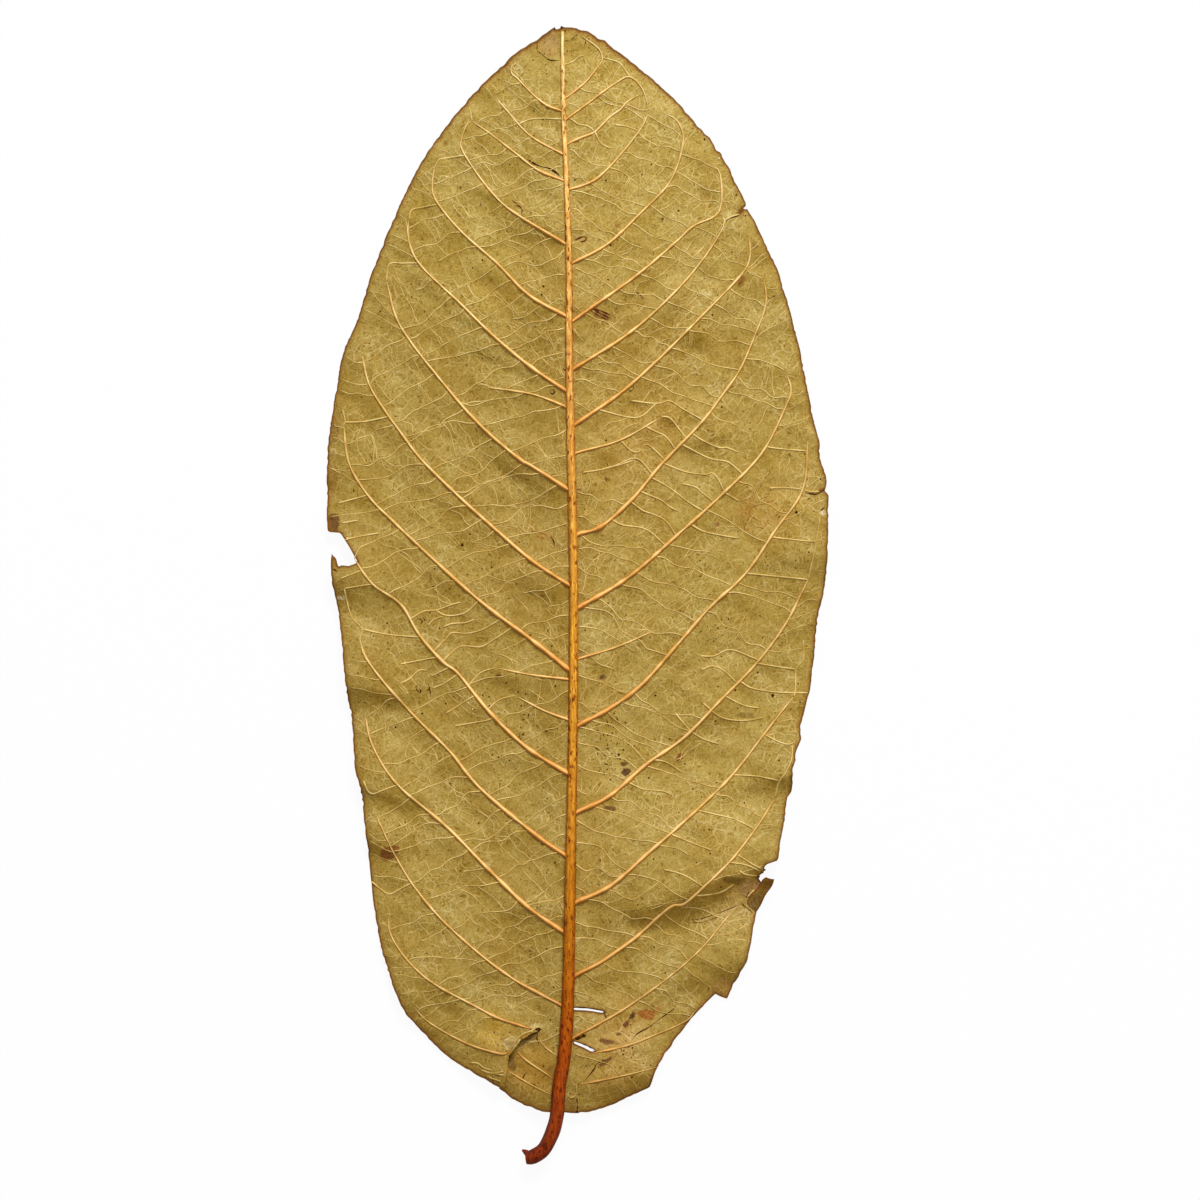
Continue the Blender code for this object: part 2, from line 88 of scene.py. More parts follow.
# ---- the outline
# Counter-clockwise from the tip. A smooth run is a curve with the fine crinkle of a dry margin, and a
# torn run is straight from point to point.
MARGIN = (
    ("smooth", ((-2.6, 63.1), (-3.05, 62.8), (-4.3, 62.0), (-5.3, 61.35), (-6.9, 60.3), (-8.1, 59.2),
                (-11.8, 55.6), (-16.0, 50.3), (-18.9, 45.3), (-22.55, 36.8), (-24.65, 30.3), (-26.15, 26.8),
                (-27.2, 20.8), (-27.8, 16.5), (-27.9, 12.0), (-27.8, 7.7), (-27.6, 7.0))),
    ("torn", ((-27.6, 7.0), (-26.3, 6.9), (-25.2, 5.2), (-24.3, 3.6), (-25.3, 3.2), (-26.1, 3.3),
              (-26.5, 3.1), (-26.7, 4.0), (-26.9, 4.2), (-27.2, 4.6), (-27.3, 3.9))),
    ("smooth", ((-27.3, 3.9), (-27.3, 1.8), (-26.9, -0.1), (-26.25, -4.5), (-25.6, -11.0), (-25.05, -14.5),
                (-24.7, -19.1), (-24.05, -22.0), (-23.2, -29.5), (-22.6, -35.0), (-21.5, -40.6),
                (-19.5, -45.8), (-18.1, -47.7), (-15.7, -50.3), (-13.5, -52.05), (-8.9, -54.7),
                (-6.95, -56.3), (-3.8, -57.45))),
    ("smooth", ((-3.8, -57.45), (-1.4, -57.6), (0.8, -57.6), (3.6, -56.9), (4.9, -56.3), (8.1, -54.75))),
    ("smooth", ((8.1, -54.75), (9.2, -52.1), (12.6, -47.4), (15.0, -44.8))),
    ("torn", ((15.0, -44.8), (15.4, -44.4), (15.9, -44.7), (16.7, -45.0))),
    ("smooth", ((16.7, -45.0), (17.6, -43.2), (18.7, -41.2), (19.1, -39.8), (19.55, -37.5), (20.0, -35.2))),
    ("torn", ((20.0, -35.2), (20.0, -34.9), (20.1, -33.4), (20.6, -32.2), (20.4, -31.8), (20.1, -31.4),
              (20.2, -31.2), (20.7, -30.8), (20.9, -30.5), (20.75, -30.3), (21.0, -29.9), (21.6, -29.7),
              (22.3, -29.5), (22.4, -29.1))),
    ("smooth", ((22.4, -29.1), (22.75, -26.8), (23.15, -25.0), (23.3, -23.4), (23.45, -22.5), (23.95, -21.7),
                (24.0, -19.4), (24.3, -18.3), (24.4, -17.3), (24.9, -16.1), (24.95, -14.6), (25.3, -13.0),
                (25.95, -10.6), (26.35, -7.5), (27.0, -1.9), (27.6, 0.8), (27.85, 4.1), (28.0, 8.8),
                (28.0, 11.1))),
    ("torn", ((28.0, 11.1), (27.6, 11.6), (27.0, 11.65), (27.7, 11.8))),
    ("smooth", ((27.7, 11.8), (27.85, 13.0), (27.6, 13.8), (27.2, 14.9), (27.0, 17.2), (26.45, 19.2),
                (25.15, 25.9), (24.15, 30.2), (22.4, 36.1), (20.25, 40.6), (19.75, 41.7), (19.3, 42.4),
                (18.95, 43.0))),
    ("torn", ((18.95, 43.0), (18.6, 42.9), (18.3, 42.7), (18.0, 42.35), (18.1, 42.7), (18.6, 43.15),
              (18.85, 43.35))),
    ("smooth", ((18.85, 43.35), (18.7, 43.9), (18.1, 45.1), (17.4, 46.4), (17.1, 47.4), (16.4, 48.4),
                (16.1, 49.2), (15.6, 49.5), (14.95, 50.7), (13.85, 51.85), (10.3, 55.8), (6.0, 59.45),
                (3.8, 61.05), (3.0, 61.8), (2.4, 61.8), (2.0, 62.2), (1.2, 62.7), (0.3, 62.8),
                (0.0, 63.0))),
    ("torn", ((0.0, 63.0), (-0.6, 63.1), (-1.4, 63.1), (-1.6, 63.2), (-1.8, 63.3), (-1.9, 62.9),
              (-2.4, 62.9), (-2.6, 63.1))),
)
MARGIN_STEP = 0.3
CRINKLE = 0.07  # how far the dry margin wavers in plan
CRINKLE_PITCH = 1.5
CRINKLE_EASE = 6  # points from either end of a smooth run to where it wavers in full

# Splits beside the midrib that are open right through
SPLITS = (
    ((-0.35, -45.9), (1.2, -46.0), (2.9, -46.3), (3.1, -46.5), (2.7, -46.5), (1.2, -46.25), (-0.35, -46.15)),
    ((-0.35, -49.6), (0.8, -50.0), (1.8, -50.45), (2.1, -50.8), (1.6, -50.75), (0.7, -50.3), (-0.35, -49.85)),
)
# The attribute edge is the depth in from the margin, times the second row at the y of the first row: the
# smaller, the broader is the browned line. From a split it is SPLIT_RIM plus SPLIT_EDGE times the depth.
EDGE_WIDTHS = ((-56.0, -49.0, -40.0, 50.0, 60.0), (0.75, 0.8, 0.95, 0.95, 0.55))
SPLIT_EDGE = 1.8
SPLIT_RIM = -0.1
EDGE_REACH = 6.0  # how far in from the margin the depth is measured
SPLIT_REACH = 3.0  # and how far from a split
GRID_STEP = 0.26
FINE_STEP = 0.09
FINE_ROWS = ((-46.8, -45.6), (-51.0, -48.2))  # stretches of y that hold the splits and the crease's head

# ---- midrib and stalk
# (x, y, radius) from the tip to the cut end of the stalk, as in the solids
MIDRIB = (
    (-1.62, 62.6, 0.2), (-1.48, 52.8, 0.28), (-1.22, 47.8, 0.32), (-0.9, 38.0, 0.36), (-0.85, 32.8, 0.38),
    (-0.86, 27.8, 0.42), (-0.66, 16.0, 0.46), (-0.57, 12.8, 0.47), (-0.36, 1.4, 0.5), (-0.4, -9.0, 0.53),
    (-0.48, -18.0, 0.54), (-0.61, -24.0, 0.56), (-0.82, -36.0, 0.63), (-1.0, -45.0, 0.69),
    (-1.38, -51.0, 0.73), (-1.96, -54.5, 0.76), (-2.15, -57.2, 0.79), (-2.42, -58.8, 0.8),
    (-2.95, -60.3, 0.81), (-3.75, -61.7, 0.8), (-4.9, -62.45, 0.8), (-5.6, -62.6, 0.7),
)
SPUR = ((-5.0, -62.5, 0.5), (-5.7, -62.0, 0.3), (-6.1, -61.8, 0.1))
STALK_LIFT = 0.35  # daylight under the free end of the stalk
STALK_START = 4.5  # the stalk leaves the blade this far before the far end of the box
STALK_BLEND = 3.0
RIB_SINK = 0.25  # share of the blade's thickness that the midrib's bed lies below the veined face
RIB_STAND = 0.35  # share of its radius by which the midrib's middle stands over that bed
RIB_SMOOTHING = 8  # rows to either side over which the bed is evened out
TABLE_CLEARANCE = 1.02  # the midrib's middle stays at least this many radii above the table
RIB_SIDES = 28
RIB_STEP = 0.25
SPUR_STEP = 0.2

# ---- the lateral veins
LEFT_LATERALS = (
    ((-1.7, 53.7), (-3.3, 54.3), (-4.7, 55.4), (-5.8, 56.5), (-6.7, 57.5), (-7.3, 58.0), (-7.2, 58.8),
     (-6.2, 59.4)),
    ((-1.6, 48.9), (-5.1, 50.9), (-7.7, 53.7), (-9.3, 55.7)),
    ((-1.4, 45.9), (-4.3, 47.1), (-6.9, 49.1), (-9.4, 51.1), (-12.0, 52.9)),
    ((-1.0, 38.7), (-6.4, 42.0), (-9.4, 44.6), (-12.6, 49.1), (-12.8, 50.8), (-12.0, 52.9)),
    ((-1.0, 30.8), (-5.3, 33.2), (-9.0, 36.9), (-12.8, 40.3), (-15.6, 43.7), (-16.1, 45.7), (-15.6, 48.2)),
    ((-1.1, 22.6), (-5.0, 25.2), (-9.1, 28.6), (-12.9, 32.3), (-17.6, 36.9), (-18.8, 40.0), (-18.6, 42.1)),
    ((-1.0, 11.7), (-5.2, 14.4), (-6.3, 15.0), (-10.3, 18.4), (-14.2, 22.7), (-19.6, 29.8), (-21.2, 34.9)),
    ((-0.9, 1.1), (-5.0, 3.8), (-9.1, 7.3), (-12.9, 10.7), (-17.0, 14.7), (-19.3, 17.6), (-22.9, 22.9),
     (-23.9, 26.6)),
    ((-0.9, -8.3), (-5.2, -4.9), (-10.3, -1.1), (-15.4, 3.4), (-20.6, 8.3), (-23.3, 11.1), (-25.4, 14.7),
     (-26.0, 19.2)),
    ((-0.9, -19.9), (-5.6, -17.0), (-9.7, -13.1), (-13.2, -8.8), (-15.0, -7.4), (-17.6, -4.4),
     (-19.6, -1.1), (-22.7, 1.2), (-24.7, 4.0)),
    ((-1.3, -28.9), (-4.6, -26.7), (-10.7, -21.6), (-14.2, -17.4), (-17.9, -13.7), (-21.1, -10.1),
     (-23.4, -7.0), (-24.1, -5.0)),
    ((-1.6, -37.4), (-5.6, -34.6), (-10.2, -30.2), (-14.2, -26.1), (-19.9, -21.1), (-22.7, -16.8),
     (-23.6, -13.4)),
    ((-1.8, -45.6), (-7.6, -42.4), (-13.0, -38.1), (-16.8, -34.2), (-19.7, -30.0), (-22.4, -24.3)),
    ((-4.6, -48.15), (-5.4, -48.1), (-6.6, -47.7), (-8.6, -47.1), (-10.9, -46.0), (-15.6, -43.4),
     (-18.6, -40.9), (-20.7, -37.9), (-21.0, -35.8)),
    ((-7.15, -50.2), (-7.9, -50.95), (-9.2, -50.8), (-11.7, -50.1), (-14.1, -49.0), (-16.8, -47.3),
     (-18.1, -45.8)),
)
RIGHT_LATERALS = (
    ((-1.2, 55.2), (-0.15, 56.0), (1.1, 57.1), (2.2, 58.5), (2.8, 59.4), (2.6, 60.4), (2.1, 61.0),
     (1.1, 61.7), (0.5, 62.1)),
    ((-0.9, 53.0), (1.4, 54.7), (4.3, 56.9), (5.9, 57.6), (7.3, 56.2), (8.0, 53.9)),
    ((-0.9, 44.9), (2.0, 46.0), (4.6, 48.6), (7.1, 51.8), (8.0, 53.7)),
    ((-0.6, 36.7), (3.3, 38.8), (7.1, 42.4), (10.4, 46.0), (11.8, 50.3), (11.2, 52.6), (9.7, 53.6)),
    ((-0.4, 30.4), (3.3, 33.0), (7.1, 35.8), (10.9, 39.1), (13.0, 41.0), (15.8, 42.6), (15.9, 46.8),
     (14.6, 48.0)),
    ((-0.3, 25.1), (5.6, 28.9), (10.2, 32.9), (13.8, 37.0), (16.3, 41.0), (15.9, 42.6)),
    ((-0.1, 19.0), (4.8, 22.4), (9.1, 26.2), (14.2, 31.3), (18.1, 35.4), (19.2, 37.4), (19.1, 40.3)),
    ((0.2, 6.8), (2.7, 7.6), (6.2, 10.7), (9.3, 14.4), (13.7, 19.0), (15.8, 21.7), (18.1, 25.0),
     (19.9, 29.1), (21.0, 32.3), (20.8, 35.2)),
    ((0.2, -1.4), (5.8, 2.0), (11.9, 7.3), (16.4, 11.4), (20.6, 15.8), (23.3, 21.1), (23.8, 22.9),
     (23.2, 24.9)),
    ((0.3, -14.4), (3.7, -12.6), (7.2, -10.0), (11.3, -5.4), (14.9, -1.3), (18.8, 2.4), (22.0, 7.1),
     (25.1, 11.7), (25.7, 17.2)),
    ((0.1, -24.1), (3.7, -22.3), (7.8, -18.8), (11.9, -15.9), (15.9, -11.8), (20.0, -7.6), (23.3, -3.1),
     (25.7, 1.7)),
    ((0.0, -34.1), (3.7, -32.3), (7.8, -28.7), (11.9, -25.1), (17.0, -20.3), (21.0, -15.2), (24.1, -11.3)),
    ((0.0, -42.2), (2.9, -40.7), (6.8, -37.9), (10.3, -34.7), (11.9, -34.3), (14.4, -32.0),
     (17.4, -29.0), (20.2, -25.4), (22.0, -22.6)),
    ((-0.2, -49.1), (2.6, -47.6), (5.7, -45.8), (10.0, -42.7), (13.8, -39.3), (16.3, -36.3), (17.9, -34.6)),
    ((1.5, -50.95), (2.6, -50.7), (6.1, -49.9), (11.8, -47.6), (13.3, -46.1)),
    ((0.0, -54.4), (4.9, -53.4), (9.0, -52.4)),
)
# Weaker veins that start at the midrib between two laterals, and the veins of the lower layer and the
# flap at the crease
MINOR_VEINS = (
    ((-1.3, 20.9), (-5.0, 22.3), (-10.1, 23.1)), ((-0.9, -9.4), (-5.0, -8.9), (-9.1, -8.1)),
    ((-0.9, -13.9), (-3.6, -12.9), (-6.9, -11.2)), ((0.0, 15.8), (4.8, 17.2), (9.4, 19.8)),
    ((0.2, -7.1), (4.4, -5.8), (8.8, -3.9)),
    ((-0.7, 50.2), (0.9, 50.9), (2.0, 51.4), (3.7, 53.1), (4.9, 54.0), (5.7, 54.9), (7.3, 55.8)),
    ((-4.35, -48.55), (-4.15, -49.4), (-3.6, -50.2), (-2.7, -50.9), (-2.0, -51.3)),
    ((-6.9, -50.3), (-6.3, -51.2), (-5.0, -52.2), (-3.6, -53.1), (-2.5, -53.9)),
    ((-7.9, -52.8), (-5.9, -54.0), (-4.2, -54.9), (-2.9, -55.5)),
)
# Cross veins whose run is known
KNOWN_CROSS_VEINS = (
    ((7.8, 18.8), (8.7, 18.2), (9.9, 17.6), (11.0, 16.4)),
    ((2.6, 13.9), (4.3, 14.4), (6.6, 15.2), (8.3, 13.6)),
    ((5.2, 16.6), (6.1, 16.0), (7.0, 16.0), (7.7, 16.8), (8.9, 15.9), (9.6, 14.9)),
    ((6.0, 21.6), (8.9, 21.3), (10.3, 21.6), (11.8, 20.7), (13.8, 19.3)),
    ((2.6, 20.0), (5.6, 19.8), (7.2, 19.9), (8.8, 21.3)),
    ((9.4, 19.8), (10.1, 19.8), (10.8, 19.2), (11.8, 17.9)),
    ((13.0, 17.8), (14.1, 17.1), (15.8, 16.4), (16.7, 16.4), (18.1, 15.8)),
    ((11.8, 16.3), (14.8, 15.2), (16.8, 14.8), (18.1, 13.9)),
    ((9.9, 14.4), (12.1, 13.7), (14.4, 13.4), (15.0, 13.6), (15.7, 12.9), (16.3, 11.6)),
    ((8.6, 12.9), (9.7, 12.3), (11.3, 11.2), (12.3, 10.4), (13.6, 9.6)),
    ((11.6, 12.4), (13.2, 12.0), (14.0, 11.3), (14.8, 10.6)),
    ((7.2, 11.3), (8.3, 11.0), (9.3, 10.6), (10.2, 9.9), (11.3, 9.3)),
    ((6.1, 10.1), (7.3, 9.4), (8.7, 8.9), (9.9, 8.2), (10.4, 7.2)),
    ((4.1, 8.2), (5.0, 7.8), (7.7, 7.3), (9.2, 6.1)), ((16.3, 11.3), (18.1, 10.4)),
    ((12.9, 7.6), (14.0, 7.1), (15.7, 6.7), (18.1, 6.3)),
    ((-18.0, -2.4), (-17.0, -1.8), (-15.7, -1.7), (-14.0, -1.1), (-12.9, -0.8)),
    ((-15.7, -1.7), (-14.9, -2.2), (-13.8, -2.3), (-12.3, -1.9), (-11.3, -1.2)),
    ((-16.6, -3.4), (-15.9, -2.7), (-14.9, -2.4)),
    ((-15.0, -3.6), (-13.9, -3.2), (-12.4, -3.1), (-11.4, -2.7)),
    ((-15.7, -6.0), (-14.6, -4.9), (-13.9, -4.2), (-12.3, -4.3), (-10.4, -3.8), (-8.4, -3.0)),
    ((-14.8, -7.1), (-13.3, -5.9), (-12.3, -5.7), (-10.8, -5.8), (-9.6, -5.2), (-7.4, -4.0)),
    ((-11.7, -9.8), (-10.8, -8.7), (-9.1, -8.1)), ((-9.6, -12.7), (-8.7, -11.7), (-6.9, -11.2)),
    ((-16.1, -10.4), (-14.9, -9.9), (-13.6, -9.2)), ((-16.3, -9.1), (-14.2, -8.3)),
    ((-19.7, -9.9), (-18.6, -9.3), (-17.6, -8.4), (-16.7, -8.4)),
    ((-19.7, -7.7), (-17.0, -7.2), (-15.8, -7.0)), ((-14.6, -13.2), (-13.0, -12.2), (-11.7, -11.4)),
    ((-13.6, -14.6), (-11.9, -14.3), (-10.2, -14.0), (-9.2, -13.7)),
    ((-23.7, -20.6), (-23.2, -21.8), (-22.6, -22.1), (-21.6, -21.7), (-20.1, -21.0)),
    ((-22.9, -31.9), (-21.1, -33.3), (-20.0, -32.9), (-18.6, -32.4)),
    ((5.8, 57.6), (5.4, 58.3), (4.7, 59.2), (3.3, 59.6)),
    ((-0.9, 52.7), (0.2, 52.2), (1.1, 52.1), (2.0, 51.6)), ((4.2, 52.2), (5.4, 52.1), (6.9, 51.5)),
    ((2.2, 51.1), (2.6, 50.2), (3.7, 49.6)), ((-5.9, 53.0), (-4.7, 52.9), (-1.9, 52.8)),
    ((-1.3, 58.9), (-0.4, 59.3), (0.2, 59.8), (0.9, 60.0)), ((21.4, 16.4), (22.3, 16.3), (25.2, 16.2)),
    ((21.4, 11.9), (23.7, 11.9), (24.8, 11.7)), ((-26.6, 10.2), (-24.1, 10.7)),
    ((-26.2, 8.0), (-24.3, 8.3)), ((-25.8, 6.1), (-24.7, 6.4), (-21.9, 6.9)), ((-26.2, 1.8), (-24.3, 2.4)),
    ((-25.8, 0.7), (-22.6, 1.1)), ((17.9, -29.1), (19.4, -29.8), (20.5, -30.4)),
    ((18.0, -30.5), (18.5, -30.9), (19.2, -31.1), (20.0, -31.2)),
    ((19.75, -32.75), (19.3, -33.2), (18.9, -33.65)), ((18.1, 42.35), (17.0, 42.0), (16.35, 41.55)),
    ((26.9, 11.55), (26.2, 11.45), (25.3, 11.6)),
    ((-4.7, -48.35), (-5.3, -48.5), (-5.9, -48.7), (-6.45, -49.1), (-6.9, -49.85)),
    ((-8.5, -49.4), (-7.55, -48.85)), ((-8.8, -50.6), (-8.55, -49.6)), ((-8.0, -46.9), (-7.4, -46.2)),
    ((-9.3, -53.1), (-8.5, -53.3), (-8.1, -53.3), (-7.9, -53.05)),
    ((-11.9, -52.0), (-11.0, -52.1), (-10.3, -52.6), (-9.4, -52.8)),
    ((-0.9, -55.8), (-0.2, -55.7), (0.3, -55.1)),
    ((-4.4, -48.32), (-5.3, -48.5), (-6.3, -49.0), (-6.95, -49.75)),
    ((12.8, -32.8), (14.2, -33.3), (16.0, -33.0), (17.4, -32.1)),
    ((-10.7, -52.8), (-9.4, -53.15), (-8.15, -53.3)), ((-10.0, -53.5), (-9.0, -53.85), (-8.2, -54.1)),
    ((-12.5, 51.9), (-12.1, 52.5), (-11.4, 52.9)), ((-11.6, 52.9), (-11.85, 53.7), (-12.0, 54.3)),
    ((-16.1, 46.5), (-15.8, 47.6), (-15.3, 48.4), (-14.5, 48.6), (-12.8, 48.7)),
    ((-18.7, 41.8), (-18.4, 42.8), (-17.2, 43.1), (-15.6, 43.3)),
    ((-21.3, 35.6), (-20.9, 36.8), (-19.4, 36.9), (-17.6, 37.0)),
    ((-26.0, 18.6), (-25.8, 19.4), (-26.1, 20.6)), ((-25.8, 19.4), (-23.7, 19.3), (-21.1, 19.5)),
    ((-23.9, -3.8), (-21.0, -4.4), (-17.6, -4.8)),
    ((-25.8, 0.7), (-25.6, -0.6), (-25.1, -2.4), (-23.9, -3.8), (-24.1, -5.0), (-23.7, -7.2)),
    ((25.6, 2.3), (26.4, 5.0), (26.65, 6.5), (27.0, 8.6)), ((22.3, 6.0), (24.4, 6.1), (26.6, 5.9)),
    ((18.9, 2.3), (21.8, 2.1), (25.5, 2.25)), ((0.6, 13.6), (2.5, 13.9), (4.2, 14.3), (6.3, 15.0)),
    ((24.1, -11.4), (24.3, -10.6), (24.4, -8.3), (25.2, -7.1), (25.2, -5.0)),
    ((20.0, -7.8), (21.7, -7.9), (24.4, -8.3)),
    ((18.7, -9.9), (19.4, -10.35), (22.0, -10.8), (25.7, -10.9)),
    ((13.7, -6.8), (15.3, -6.8), (17.1, -6.1), (19.8, -6.8)),
    ((13.8, -8.4), (15.0, -7.9), (16.3, -8.4), (17.2, -9.3)),
    ((14.0, -12.0), (16.0, -13.6), (18.6, -14.0), (20.8, -13.6)),
    ((17.3, -19.9), (19.7, -20.1), (21.0, -20.3), (22.4, -20.6)),
    ((21.2, -15.9), (22.4, -16.3), (23.6, -16.6), (24.2, -16.2)),
    ((23.9, -16.7), (23.8, -18.2), (23.2, -19.6), (22.4, -20.8), (22.1, -22.4)),
    ((13.4, -24.0), (15.2, -24.3), (17.6, -24.9), (20.1, -26.2)),
    ((10.4, -26.3), (12.6, -27.4), (15.0, -28.3)), ((16.9, -29.4), (18.7, -29.9), (20.2, -30.6)),
    ((9.6, -30.4), (11.8, -31.0), (13.9, -31.9)), ((5.8, -21.0), (7.4, -21.6), (9.5, -21.8), (10.6, -22.3)),
    ((10.9, -13.1), (12.4, -14.9), (14.0, -16.0), (15.8, -16.6)),
    ((8.4, -18.0), (9.9, -18.6), (11.8, -19.8)), ((16.6, -11.6), (18.6, -12.3), (20.4, -12.6)),
)
LATERAL_HALF_WIDTH = (0.33, 0.155)  # at the midrib and at the far end
LATERAL_HEIGHT = (0.3, 0.12)
VEIN_TAPER = 0.7  # the power by which a vein goes from the first size to the second
VEIN_UNEVEN = 0.13
VEIN_UNEVEN_PITCH = 2.2
END_TAPER = 1.2  # a vein tapers to its end over this length
START_TAPER = 2.4  # and to its start over this one, if it starts away from the midrib
MINOR_HALF_WIDTH = (0.21, 0.12)
MINOR_HEIGHT = (0.18, 0.09)
CROSS_HALF_WIDTH = 0.1
CROSS_HEIGHT = 0.07
CROSS_GAP = (1.7, 3.1)  # between neighbouring cross veins
CROSS_FALL = (12, 34)  # degrees by which they fall from the midrib outwards
CROSS_MISS = 9  # degrees by which one may miss that slant
CROSS_LENGTH = (0.7, 13.0)
CROSS_WAVER = (0.1, 0.03)  # in all, and per millimetre of its length
CROSS_START = 0.5  # from the midrib's middle
VEIN_STEP = 0.4  # spacing of points along lateral and minor veins
FINE_VEIN_STEP = 0.3  # and along cross veins
KINK = 0.1
KINK_PITCH = 1.1
KNOWN_BOOST = 0.38  # by how much of the full size the known ones are larger
LINK_HALF_WIDTH = 0.07
LINK_HEIGHT = 0.045
LINK_LENGTH = (0.8, 4.5)
LINK_WAVER = 0.15
STOPS_SHORT = 0.12  # the share of cross veins that fade out on their way
STOPS_AT = (0.35, 0.8)  # the share of their way at which they do
MARGINAL_START = 0.45  # the share of a lateral's length past which veins run from it to the margin
MARGINAL_GAP = (1.2, 2.4)  # between neighbouring ones
MARGINAL_LENGTH = (0.9, 5.5)
MARGINAL_LEAN = 0.7  # the most that they lean to the tip, as a share of their length
MARGINAL_WAVER = 0.12
MARGINAL_STOP = 0.35  # how far inside the margin they end
# Places without random cross veins: (x, y, reach)
BARE = ((6.0, -49.3, 4.0), (-9.0, -53.0, 2.5), (0.0, -55.5, 3.0), (18.3, -33.3, 2.6))
BARE_SHARE = 0.6  # a vein is kept if more of it than this is outside each of them
ROOT_REACH = 1.4  # a vein that starts this near the midrib's middle is rooted under it
ROOT_FALL = 0.8  # how far down the midrib the root lies, as a share of the way to its middle
JOIN_REACH = 1.0  # an end this near a stronger vein joins it
VEIN_SIZES = ((-54.0, -50.5, -46.0, -42.0, -10.0, 20.0, 35.0, 60.0),
              (0.58, 0.66, 0.8, 1.04, 1.08, 0.92, 0.78, 0.58))  # by y of the root: share of full size

# The blade's own folds under its veins
LATERAL_FOLD = 0.31
LATERAL_FOLD_WIDTH = 1.8
FOLD_ROOT = 0.25  # share of their height that the folds of laterals have at the midrib
FOLD_EASE = 4.0  # how far from the midrib that share would grow by one
CROSS_FOLD = 0.045
CROSS_FOLD_WIDTH = 0.42
FOLD_WIDTHS = 3.5  # this many widths from a vein its fold is nothing
COCKLES = ((0.045, 3.4, 21), (0.02, 1.3, 22))  # unevenness of the face: height, pitch and seed

# The sheet of the blade in the scene, which is thinner than the solid's
FACE_DROP = 0.1  # from the solid's face down to the sheet's
SHEET_THICKNESS = 0.3
SHEET_LEAST = 0.1
RIM_SHARE = 0.55  # share of the thickness at the margin
RIM_TAPER = 0.6  # how far from the margin the sheet has its full thickness
LEAST_DEPTH = 0.012  # grid points nearer than this to the outline are moved off it, so that no sliver is cut


# ---- curves and fields
def smooth_curve(points, step):
    """Catmull-Rom curve through the points, sampled about every step."""
    points = np.array(points, float)
    ends = (2 * points[0] - points[1], 2 * points[-1] - points[-2])
    padded = np.vstack([ends[0], points, ends[1]])
    samples = []
    for before, start, end, after in zip(padded, padded[1:], padded[2:], padded[3:]):
        count = max(1, round(float(np.linalg.norm((end - start)[:2])) / step))
        t = (np.arange(count) / count)[:, None]
        samples.append(
            0.5 * (2 * start + (end - before) * t + (2 * before - 5 * start + 4 * end - after) * t**2
                   + (3 * start - before - 3 * end + after) * t**3)
        )
    return np.vstack(samples + [points[-1:]])


def arc_lengths(line):
    """Length of the line from its start to each of its points."""
    return np.concatenate([[0], np.cumsum(np.linalg.norm(np.diff(line, axis=0), axis=1))])


def points_at(line, places, spots):
    """Points of the line at the spots, by linear blending. places holds the place of each of its points."""
    return np.stack([np.interp(spots, places, line[:, k]) for k in (0, 1)], axis=-1)


def closed(loop):
    """The loop with its first point once more at its end."""
    return np.vstack([loop, loop[:1]])


def evenly(line, step):
    """The same line with its points evenly spaced."""
    length = arc_lengths(line)
    return points_at(line, length, np.linspace(0, length[-1], max(2, round(length[-1] / step) + 1)))


def sideways(line):
    """Unit normals of a line, to its left."""
    run = np.gradient(line, axis=0)
    return np.column_stack([-run[:, 1], run[:, 0]]) / np.linalg.norm(run, axis=1)[:, None]


def ripple(x, y, pitch, seed, waves=14):
    """A random swell of about unit height: the sum of sine waves of about one pitch in random directions."""
    draws = np.random.default_rng(seed)
    total = np.zeros(np.shape(x))
    for _ in range(waves):
        turn, phase, stretch = draws.uniform((0, 0, 0.7), (2 * math.pi, 2 * math.pi, 1.4))
        along = x * math.cos(turn) + y * math.sin(turn)
        total += np.sin(2 * math.pi * along / (pitch * stretch) + phase)
    return total / math.sqrt(waves / 2)


def near_lines(x, y, lines, reach):
    """Distance from each point to the nearest of the lines, and no more than reach."""
    found = np.full(x.shape, float(reach))
    stretch = 24  # segments that are measured at once, against the points near them
    for line in lines:
        for first in range(0, len(line) - 1, stretch):
            part = line[first:first + stretch + 1]
            (x0, y0), (x1, y1) = part.min(axis=0) - reach, part.max(axis=0) + reach
            near = np.flatnonzero((x > x0) & (x < x1) & (y > y0) & (y < y1))
            if len(near) == 0:
                continue
            start, run = part[:-1], np.diff(part, axis=0)
            off_x = x[near, None] - start[:, 0]
            off_y = y[near, None] - start[:, 1]
            along = (off_x * run[:, 0] + off_y * run[:, 1]) / np.maximum((run**2).sum(axis=1), 1e-12)
            along = np.clip(along, 0, 1)
            gap = np.hypot(off_x - along * run[:, 0], off_y - along * run[:, 1]).min(axis=1)
            found[near] = np.minimum(found[near], gap)
    return found


def inside(x, y, loop):
    """Even-odd test of each point against a closed loop."""
    crossings = np.zeros(x.shape, int)
    for (x1, y1), (x2, y2) in zip(loop, np.roll(loop, -1, axis=0)):
        if y1 != y2:
            level = (y1 > y) != (y2 > y)
            crossings += level & (x < x1 + (y - y1) * (x2 - x1) / (y2 - y1))
    return crossings % 2 == 1


def midrib_x(y):
    """x of the midrib's middle at each y."""
    rows = np.array(MIDRIB)[::-1]
    return np.interp(y, rows[:, 1], rows[:, 0])


